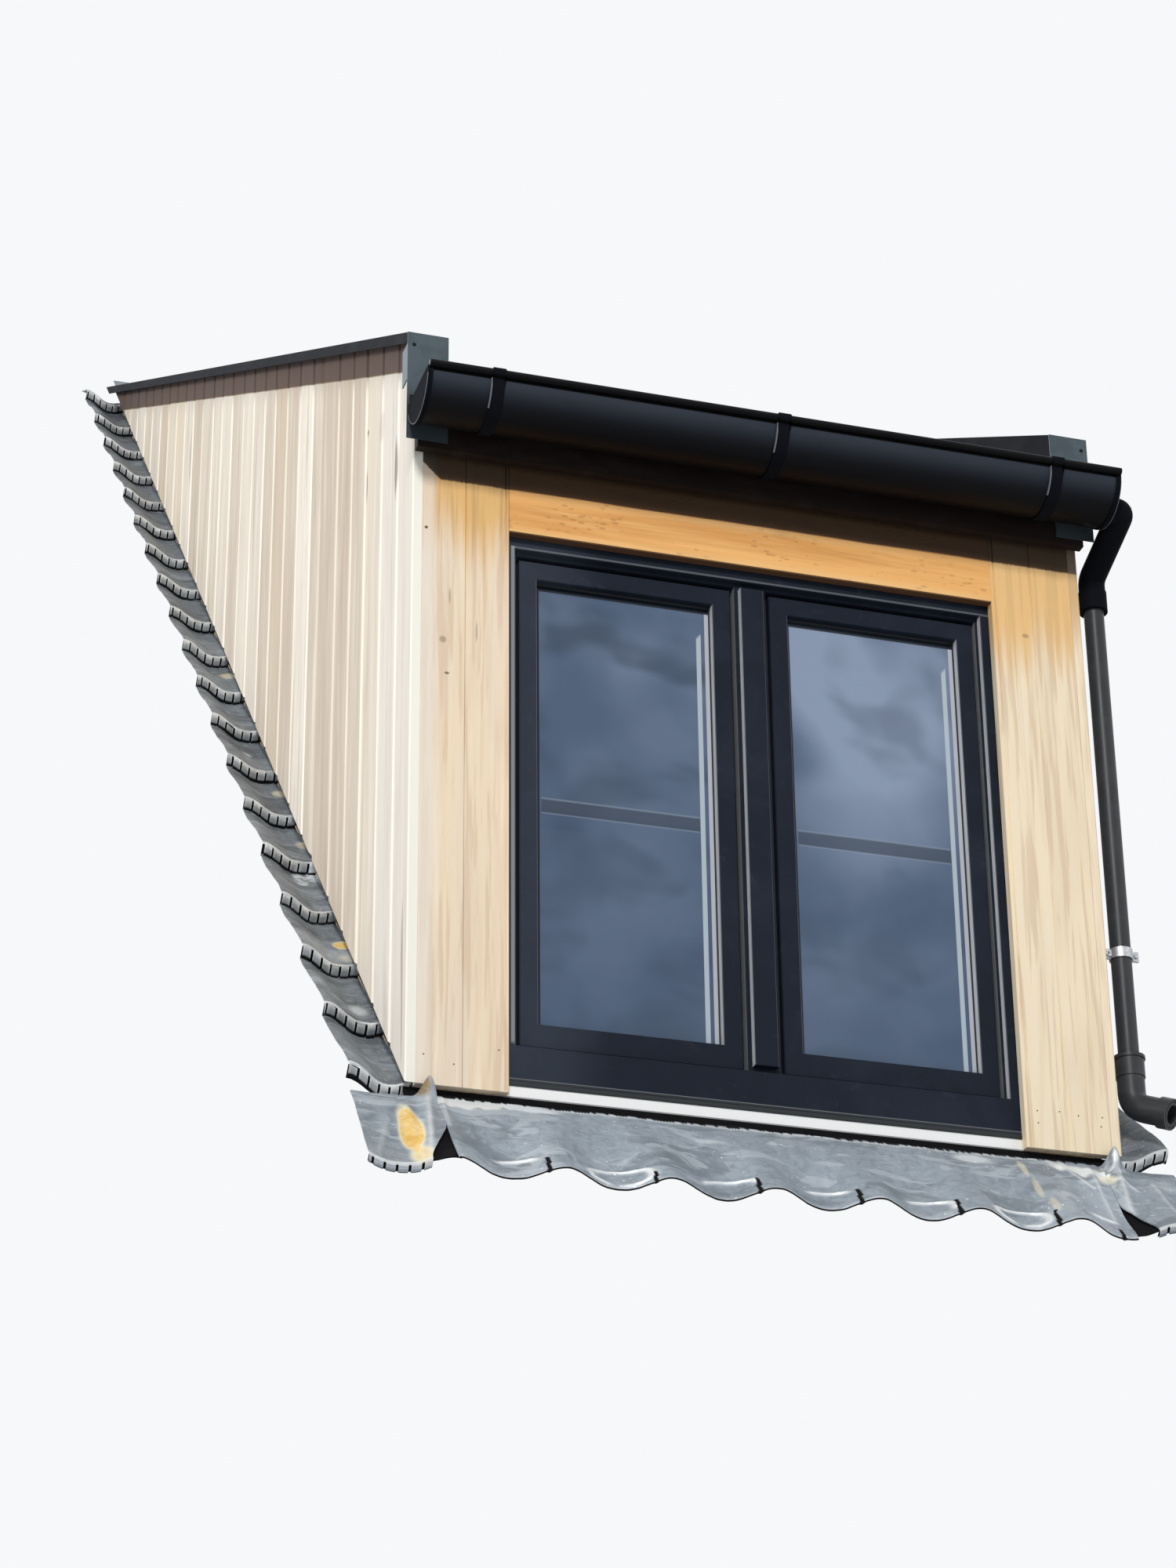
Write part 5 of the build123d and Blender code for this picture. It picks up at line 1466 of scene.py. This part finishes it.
class DORMER_OT_lead(bpy.types.Operator):
    """Apron, corner pieces and stepped side flashings, dressed over the tiles"""

    bl_idname = "dormer.lead"
    bl_label = "Lead Flashings"

    def execute(self, context):
        settings = context.scene.dormer_lead
        self.apron(settings)
        for side, name in SIDES:
            self.corner(settings, side, name)
            self.soakers(settings, side, name)
        return {"FINISHED"}

    @staticmethod
    def folds(x, run):
        """Height of the hand-folded creases at the corners, and the highlight painted on their backs."""
        height = shine = 0.0
        for x0, run0, x1, run1, rise, width, rubbed in LEAD_FOLDS:
            t = ((x - x0) * (x1 - x0) + (run - run0) * (run1 - run0)) / ((x1 - x0) ** 2 + (run1 - run0) ** 2)
            t = min(max(t, 0.0), 1.0)
            away = math.hypot(x - x0 - t * (x1 - x0), run - run0 - t * (run1 - run0)) / width
            if away < 3.0:
                bell = math.exp(-away * away) * (1.0 - t * 0.75)
                height += rise * bell
                shine = max(shine, rubbed * math.exp(-(away / 0.45) ** 2))
        return height, shine

    @staticmethod
    def rings(x, run):
        """Rounded ridges pressed into the pans near the apron's edge."""
        best = 0.0
        for middle, half, start, sweep in LEAD_RINGS:
            dx, dr = (x - middle) / half, (run - RIDGE_RUN) / min(half * 0.62, 0.026)
            if abs(dx) > 1.6 or abs(dr) > 1.9:
                continue
            reach = (abs(dx) ** 2.7 + abs(dr) ** 2.7) ** (1 / 2.7)
            turn = (math.atan2(-dr, dx) - start) % FULL_TURN
            if turn < sweep:
                fade = min(1.0, turn / 0.4, (sweep - turn) / 0.4)
                best = max(best, fade * math.exp(-((reach - 1.0) * half / 0.0072) ** 2))
        return best

    @staticmethod
    def slit(x, run):
        """How near a place is to one of the snips at the side of a pan."""
        near = 0.0
        for middle, start in LEAD_SLITS:
            if run > start:
                bent = middle - 0.10 * (run - start)
                near = max(near, 1.0 - min(abs(x - bent) / (0.0042 + 0.03 * (run - start)), 1.0))
        return near

    def depth(self, x, run, settings):
        """Depth of the front sheets below the cladding's foot."""
        dressed = smooth_step(0.06, 0.235, run)
        shape = settings.crest + (tile_wave(x, settings) - settings.crest) * dressed
        folds, _ = self.folds(x, run)
        lift = 0.0042 * self.rings(x, run) - 0.003 * self.slit(x, run)
        across = FULL_TURN * (x - settings.crest_x) / settings.cover
        lip = 0.003 * smooth_step(0.270, 0.285, run) * max(0.0, -math.cos(across))
        return shape + dents(x, run, settings) - folds - lift + lip

    def wear_and_highlight(self, x, run):
        """Painted highlights, with some wear, on crease backs, pressed ridges, the top edges and a rim above
        the foot; below 0, lead painted black as shade at the snips and the lower edge.
        """
        _, shine = self.folds(x, run)
        torn = noise.noise(Vector((x * 60, run * 60, 1.0))) * 0.012
        edge = 0.0
        if x < -0.50:
            width = 0.018 * smooth_step(-0.50, -0.62, x)
            edge = 1.0 - smooth_step(0.034 + width + torn, 0.040 + width + torn, run)
        elif x > 0.56:
            middle = 0.040 + 0.36 * (x - 0.60)
            edge = smooth_step(0.024, 0.010, abs(run - middle - torn)) if x < 0.715 else 0.0
            edge *= smooth_step(0.56, 0.60, x)
        else:
            edge = 0.55 * (1.0 - smooth_step(0.024 + torn * 0.4, 0.028 + torn * 0.4, run))
        if self.slit(x, run) > 0.30 or run > APRON_REACH - 0.0005:
            return PAINTED_SHADE_MARK
        foot = 0.45 * smooth_step(APRON_REACH - 0.009, APRON_REACH - 0.002, run)
        return min(1.0, max(shine, edge, 1.35 * self.rings(x, run), foot))

    def apron(self, settings):
        half = apron_high.x
        body = Builder()

        def point(x, run, down):
            return on_slope(x, run, self.depth(x, run, settings) + down)

        columns = evenly(-half, half, 430)
        rows = evenly(APRON_TOP, 0.20, 34) + evenly(0.204, APRON_REACH, 34)
        sheet(body, columns, rows, point, settings.sheet, shine_wear_shade=self.wear_and_highlight, tone=1.0)
        shelf = (SHELF_FRONT, (FRONT_Y + 0.0225, FOOT_Z - 0.010), SHELF_BACK)

        def shelf_point(x, part, down):
            if part == 0:
                return point(x, APRON_TOP, down)
            y, z = shelf[part - 1]
            if part == 1:
                return Vector((x, y, z + dents(x, -0.05, settings) - down))
            return Vector((x, y - down, z))

        # The lead turned up under the boards, painted black as shade
        sheet(body, columns[::2], range(4), shelf_point, settings.sheet, shine_wear_shade=PAINTED_SHADE_MARK, tone=1.0)
        body.make("apron_sheet", "lead", ("front_apron",), smooth=True)

    def corner(self, settings, side, name):
        """Corner sheet: one with the apron above, cut away from it below, its nose in tabs."""
        inner = apron_high.x + 0.0005
        nose = CORNER_REACH
        peak = LEAD_PEAKS[side]
        body = Builder()

        def place(part, run):
            start = inner + 0.045 * smooth_step(0.135, nose, run)
            return side * (start + (LEAD_OUTER - start) * part)

        def top(x):
            ragged = 0.005 * noise.noise(Vector((x * 160, 0.0, 5.0)))
            return 0.026 - (0.022 + ragged) * math.exp(-((x - peak) / 0.020) ** 2)

        def point(part, level, down):
            run = min(level, nose)
            x = place(part, run)
            start = top(x)
            run = start + run * (nose - start) / nose if run < nose else nose
            tall = 0.030 * math.exp(-((x - peak) / 0.017) ** 2) * (1.0 - smooth_step(0.0, 0.055, run - start))
            depth = self.depth(x, run, settings) + down - tall
            over = max(0.0, level - nose)
            if over:
                depth += min(over * 2.0, 0.0145)
                run += min(over, 0.004) + down * 0.4
            return on_slope(x, run, depth)

        def keep(part, level):
            return level < nose - 0.0005 or 0.11 < (part * 5 + 0.3) % 1.0 < 0.89

        # Painted highlight on crease backs and along the nose's bend, bright noisy crinkles on the right, and
        # painted shade in black at the tabs' foot
        def shine_wear_shade(part, level):
            x = place(part, min(level, nose))
            _, shine = self.folds(x, level)
            bend = smooth_step(nose - 0.008, nose - 0.001, level)
            bend *= 1.0 - smooth_step(nose + 0.001, nose + 0.004, level)
            foot = smooth_step(nose + 0.006, nose + 0.0085, level)
            crinkle = 0.0
            if side > 0 and x < 0.73:
                crinkle = max(0.0, noise.noise(Vector((x * 70, level * 70, 2.0))) * 2.4)
                crinkle *= 1.0 - smooth_step(0.05, 0.12, level)
            return max(shine, bend * 0.9, min(crinkle, 1.0)) + PAINTED_SHADE_MARK * foot

        columns = evenly(0.0, 1.0, 70)
        rows = evenly(0.0, nose - 0.002, 56) + evenly(nose, nose + 0.009, 6)
        sheet(body, columns, rows, point, settings.sheet, keep, shine_wear_shade, 0.75)

        # Sheet behind the tabs, painted black as shade
        def behind(part, over, down):
            x = place(part, nose)
            depth = self.depth(x, nose, settings) + 0.005 + over * 1.3
            return on_slope(x, nose - 0.002 - down, depth)

        sheet(body, evenly(0.0, 1.0, 24), (0.0, 0.0105), behind, BEHIND_THICK, shine_wear_shade=PAINTED_SHADE_MARK)

        # Shelf under the boards' foot, painted black as shade
        def shelf(part, level, down):
            x = side * (inner + (HALF_WIDTH - 0.002 - inner) * part)
            if level == 0:
                return on_slope(x, 0.034, self.depth(x, 0.034, settings) + 0.003 + down)
            y, z = (SHELF_FRONT, SHELF_BACK)[level - 1]
            return Vector((x, y - down, z))

        sheet(body, evenly(0.0, 1.0, 12), range(3), shelf, settings.sheet, shine_wear_shade=-1.3)

        # Under-lap sheet, painted black as shade
        def lap(x, run, down):
            return on_slope(side * x, run, self.depth(side * x, run, settings) + 0.010 + down)

        columns, rows = evenly(inner - 0.012, inner + 0.075, 12), evenly(0.10, 0.262, 12)
        sheet(body, columns, rows, lap, settings.sheet, shine_wear_shade=-1.2)
        body.make(name + "_corner_lead", "lead", (name + "_corner_flashing",), smooth=True)

    def soakers(self, settings, side, name):
        slope = (clad_high.y - FRONT_Y) / math.cos(MAIN_PITCH)
        inner = HALF_WIDTH - 0.018
        body = Builder()
        run = -0.012
        rng = random.Random(31 + side)
        while run > -slope:
            up = max(run - settings.gauge - 0.02, -slope - 0.01)
            self.course(body, settings, side, run, up, inner, rng)
            run -= settings.gauge

        def point(part, along, down):
            x = (inner, HALF_WIDTH - 0.039, HALF_WIDTH - 0.039 + down)[part]
            depth = (0.014 + down, 0.012 + down, -0.048)[part]
            return on_slope(side * x, along, settings.crest + depth)

        sheet(body, range(3), evenly(-0.036, -slope + 0.10, 24), point, settings.sheet)
        body.make(name + "_soakers", "lead", (name + "_side_flashing",), smooth=True)

    @staticmethod
    def course(body, settings, side, nose, up, inner, rng):
        """One sheet: dished in the pan, its nose beaten down over the course below in short tabs."""
        tabs = 6
        fall = 0.029
        shift = rng.uniform(0, 9)
        twist = rng.uniform(-0.004, 0.004)
        phase = rng.uniform(0, 1)
        depth_of_pan = settings.pan - 0.001 - settings.crest

        def across(part):
            return side * (inner + (LEAD_OUTER - inner) * part)

        def in_tab(part):
            return (part * tabs + phase) % 1.0

        def dish(part):
            flat = min(max((part - 0.34) / 0.66, 0.0), 1.0)
            near_wall = 0.80 + 0.20 * min(part / 0.22, 1.0)
            return settings.crest + depth_of_pan * (0.5 + 0.5 * math.cos(math.pi * flat)) * near_wall

        def point(part, run, down):
            ease = smooth_step(0.45, 1.0, part) * smooth_step(nose - 0.12, nose, run)
            sway = (twist * part + 0.004 * math.sin(part * 7 + shift)) * smooth_step(nose - 0.1, nose, run)
            along = min(run, nose) - 0.014 * ease + sway
            lift = 0.004 + fall * smooth_step(up, nose - 0.01, run)
            depth = dish(part) - lift + dents(across(part) + shift, run, settings) + down
            over = max(0.0, run - nose)
            if over > 0:
                wobble = 0.0015 * math.sin(math.floor(part * tabs + phase) * 2.4 + shift)
                along += min(over, 0.004) + wobble - down * 0.6
                depth += min(over / 0.010, 1.0) * fall - down
            return on_slope(across(part), along, depth)

        def keep(part, run):
            return run < nose or 0.11 < in_tab(part) < 0.89

        # Painted highlight along the nose's bend, the tabs and their edges a little lighter, and painted
        # shade in black at the tabs' foot
        def shine_wear_shade(part, run):
            bend = smooth_step(nose - 0.009, nose - 0.002, run)
            bend *= 1.0 - smooth_step(nose + 0.0005, nose + 0.003, run)
            bright = bend * (0.95 + 0.20 * math.sin(part * 9 + shift))
            if run <= nose:
                return bright
            foot = smooth_step(nose + 0.0068, nose + 0.0085, run)
            tab_edge = 0.35 * smooth_step(0.26, 0.36, abs(in_tab(part) - 0.5))
            return bright + 0.28 + tab_edge * (1.0 - foot) - 1.5 * foot

        # Sheet behind the tabs, painted black as shade
        def behind(part, run, down):
            along = nose - 0.0045 - 0.014 * smooth_step(0.45, 1.0, part) - down
            return on_slope(across(part), along, dish(part) - 0.029 + max(0.0, run - nose) * 2.45)

        rows = evenly(up, nose - 0.014, 18) + evenly(nose - 0.010, nose, 4)
        rows += [nose + over for over in (0.002, 0.004, 0.007, 0.0085, 0.010)]
        sheet(body, evenly(0.0, 1.0, tabs * 9), rows, point, settings.sheet * 0.8, keep, shine_wear_shade)
        rows = (nose, nose + 0.0118)
        sheet(body, evenly(0.0, 1.0, 12), rows, behind, BEHIND_THICK, shine_wear_shade=-1.5)


# Roof

class DORMER_OT_roof(bpy.types.Operator):
    """Finishes of the carried-over parts, and the laps and screws of the roof"""

    bl_idname = "dormer.roof"
    bl_label = "Roof and Structure"

    def execute(self, context):
        for name, finish in NODE_FINISH.items():
            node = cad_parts[name]
            node.data.materials.clear()
            node.data.materials.append(finish_for(finish))
        self.laps()
        self.top_lap()
        self.screws()
        return {"FINISHED"}

    @staticmethod
    def roof_z(y, rise):
        return membrane_high.z - (membrane_high.y - y) * math.tan(DORMER_PITCH) + rise

    def laps(self):
        """Welded laps across the roof sheet."""
        laps = Builder()
        half = membrane_high.x - 0.002
        for y in (0.95, 2.30):
            outline = ((0.0, -0.0002), (0.06, -0.0002), (0.06, 0.0002), (0.002, 0.0022), (0.0, 0.0015))
            laps.bar([(y + on, self.roof_z(y + on, rise)) for on, rise in outline], -half, half)
        laps.make("roof_sheet_laps", "membrane", edge=0.0008)

    def top_lap(self):
        """Lead turned from the sheet above the apex down over the roof sheet."""
        low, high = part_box("top_flashing")
        ways = (low.y + 0.070, low.y + 0.002)
        line = [(y, high.z - (high.y - y) * math.tan(MAIN_PITCH) + 0.0004) for y in ways]
        line += [(y, self.roof_z(y, 0.0006)) for y in (low.y - 0.014, membrane_high.y - 0.130)]

        def point(x, part, down):
            first = min(int(part), len(line) - 2)
            t = part - first
            y, z = ((1.0 - t) * a + t * b for a, b in zip(line[first], line[first + 1]))
            worked = 0.0008 * (1.0 + noise.noise(Vector((x * 9, y * 9, 3.0))))
            return Vector((x, y, z + 0.0028 + worked - down))

        body = Builder()
        half = membrane_high.x - 0.001
        columns, rows = evenly(-half, half, 48), evenly(0.0, 3.0, 12)
        sheet(body, columns, rows, point, 0.0026, shine_wear_shade=lambda x, part: 0.5 * (part > 2.9))
        body.make("top_flashing_lap", "lead", smooth=True)

    def screws(self):
        """Capped screws through the verge trims' tops and the end plates."""
        heads = Builder()
        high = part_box("right_verge_trim")[1]
        plate_low, plate_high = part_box("right_verge_end_plate")
        up = (0, -math.sin(DORMER_PITCH), math.cos(DORMER_PITCH))
        for side, _ in SIDES:
            y = 0.05
            while y < high.y - 0.3:
                z = high.z - (high.y - y) * math.tan(DORMER_PITCH)
                heads.disc((side * (high.x - 0.045), y, z - 0.0004), up, 0.0055, 0.0028, 14)
                y += 0.45
            for z in (plate_high.z - 0.03, plate_low.z + 0.05):
                place = (side * (plate_high.x - 0.014), plate_low.y + 0.0002, z)
                heads.disc(place, (0, -1, 0), 0.004, 0.002, 12)
        heads.make("trim_screws", "trim", smooth=True)


# Stage

class DORMER_OT_stage(bpy.types.Operator):
    """Pale floor and backdrop, soft light and the camera at the photograph's angle"""

    bl_idname = "dormer.stage"
    bl_label = "Stage"

    def execute(self, context):
        settings = context.scene.dormer_stage
        self.floor(settings)
        self.lights(settings)
        self.world(settings)
        self.camera()
        context.scene.view_settings.view_transform = "Standard"
        return {"FINISHED"}

    @staticmethod
    def floor(settings):
        mesh = bpy.data.meshes.new("studio_floor")
        size, z = 40.0, settings.floor_z
        corners = [(-size, -size, z), (size, -size, z), (size, size, z), (-size, size, z)]
        mesh.from_pydata(corners, [], [[0, 1, 2, 3]])
        floor = bpy.data.objects.new("studio_floor", mesh)
        bpy.context.scene.collection.objects.link(floor)
        f = Finish("studio_floor")
        fine = f.noise(f.place, 3.0, 2.0)
        f.set(Base_Color=f.mix(fine * 0.1, (0.80, 0.80, 0.80), (0.74, 0.74, 0.74)), Roughness=0.9)
        mesh.materials.append(f.material)

    @staticmethod
    def lights(settings):
        target = Vector((0.0, 0.6, 1.2))
        for name, place, size, power, warmth in (
            ("key", (-3.6, -9.1, 5.7), 1.6, settings.key, (1.0, 0.98, 0.95)),
            ("side", (-11.5, 0.5, 5.0), 3.5, settings.side, (1.0, 0.985, 0.96)),
            ("fill", (7.0, -6.0, 1.0), 6.0, settings.fill, (0.94, 0.97, 1.0)),
            ("rim", (2.0, 8.0, 8.0), 5.0, settings.fill, (1.0, 1.0, 1.0)),
        ):
            light = bpy.data.lights.new(name, "AREA")
            light.size = size
            light.energy = power
            light.color = warmth
            lamp = bpy.data.objects.new(name, light)
            bpy.context.scene.collection.objects.link(lamp)
            lamp.location = place
            lamp.rotation_euler = (target - Vector(place)).to_track_quat("-Z", "Y").to_euler()

    @staticmethod
    def world(settings):
        """Bluish sky light, seen as a plain pale backdrop."""
        world = bpy.data.worlds.new("studio")
        bpy.context.scene.world = world
        world.use_nodes = True
        tree = world.node_tree
        tree.nodes.clear()
        sky, plain, mixer, rays, first, second, output = (
            tree.nodes.new("ShaderNode" + kind)
            for kind in ("Background", "Background", "MixShader", "LightPath", "Math", "Math", "OutputWorld")
        )
        looks = ((sky, (0.86, 0.91, 1.0, 1.0), settings.sky), (plain, (0.93, 0.94, 0.95, 1.0), 1.0))
        for made, tone, strength in looks:
            made.inputs["Color"].default_value = tone
            made.inputs["Strength"].default_value = strength
        first.operation = second.operation = "MAXIMUM"
        for source, target in (
            (rays.outputs["Is Camera Ray"], first.inputs[0]),
            (rays.outputs["Is Glossy Ray"], first.inputs[1]),
            (first.outputs[0], second.inputs[0]), (rays.outputs["Is Transmission Ray"], second.inputs[1]),
            (second.outputs[0], mixer.inputs[0]), (sky.outputs[0], mixer.inputs[1]),
            (plain.outputs[0], mixer.inputs[2]), (mixer.outputs[0], output.inputs["Surface"]),
        ):
            tree.links.new(source, target)

    @staticmethod
    def camera():
        """The photograph's camera, solved from the lines of the window and the roofs."""
        pitch, yaw, roll = 0.4608, -0.3035, -0.0103
        focal_pixels, image_height = 4755.5, 2000
        level = Matrix(((1.0, 0.0, 0.0), (0.0, 0.0, -1.0), (0.0, 1.0, 0.0)))
        turned = Matrix.Rotation(-pitch, 3, "X") @ level @ Matrix.Rotation(-yaw, 3, "Z")
        rows = Matrix.Rotation(roll, 3, "Z") @ turned
        data = bpy.data.cameras.new("camera")
        data.sensor_fit = "VERTICAL"
        data.sensor_height = 36.0
        data.sensor_width = 27.0
        data.lens = data.sensor_height * focal_pixels / image_height
        data.clip_end = 200.0
        camera = bpy.data.objects.new("camera", data)
        bpy.context.scene.collection.objects.link(camera)
        placed = Matrix((rows[0], -rows[1], -rows[2])).transposed().to_4x4()
        placed.translation = (-2.3951, -6.5543, -2.6028)
        camera.matrix_world = placed
        bpy.context.scene.camera = camera


class DORMER_PT_panel(bpy.types.Panel):
    """Steps of the dormer, in order"""

    bl_idname = "DORMER_PT_panel"
    bl_label = "Dormer Window"
    bl_space_type = "VIEW_3D"
    bl_region_type = "UI"
    bl_category = "Dormer"

    def draw(self, context):
        for step in STEPS:
            self.layout.operator(step.bl_idname)


STEPS = (
    DORMER_OT_roof, DORMER_OT_cheek_boards, DORMER_OT_front_boards, DORMER_OT_window, DORMER_OT_gutter,
    DORMER_OT_downpipe, DORMER_OT_lead, DORMER_OT_stage,
)
GROUPS = (
    ("dormer_boards", DORMER_PG_boards), ("dormer_window", DORMER_PG_window), ("dormer_lead", DORMER_PG_lead),
    ("dormer_eaves", DORMER_PG_eaves), ("dormer_stage", DORMER_PG_stage),
)


def register():
    for name, group in GROUPS:
        bpy.utils.register_class(group)
        setattr(bpy.types.Scene, name, PointerProperty(type=group))
    for step in STEPS:
        bpy.utils.register_class(step)
    bpy.utils.register_class(DORMER_PT_panel)


def unregister():
    bpy.utils.unregister_class(DORMER_PT_panel)
    for step in reversed(STEPS):
        bpy.utils.unregister_class(step)
    for name, group in reversed(GROUPS):
        delattr(bpy.types.Scene, name)
        bpy.utils.unregister_class(group)


def main():
    """Dresses the frame."""
    register()
    bpy.ops.dormer.roof()
    bpy.ops.dormer.cheek_boards()
    bpy.ops.dormer.front_boards()
    bpy.ops.dormer.window()
    bpy.ops.dormer.gutter()
    bpy.ops.dormer.downpipe()
    bpy.ops.dormer.lead()
    bpy.ops.dormer.stage()


if __name__ == "__main__":
    main()
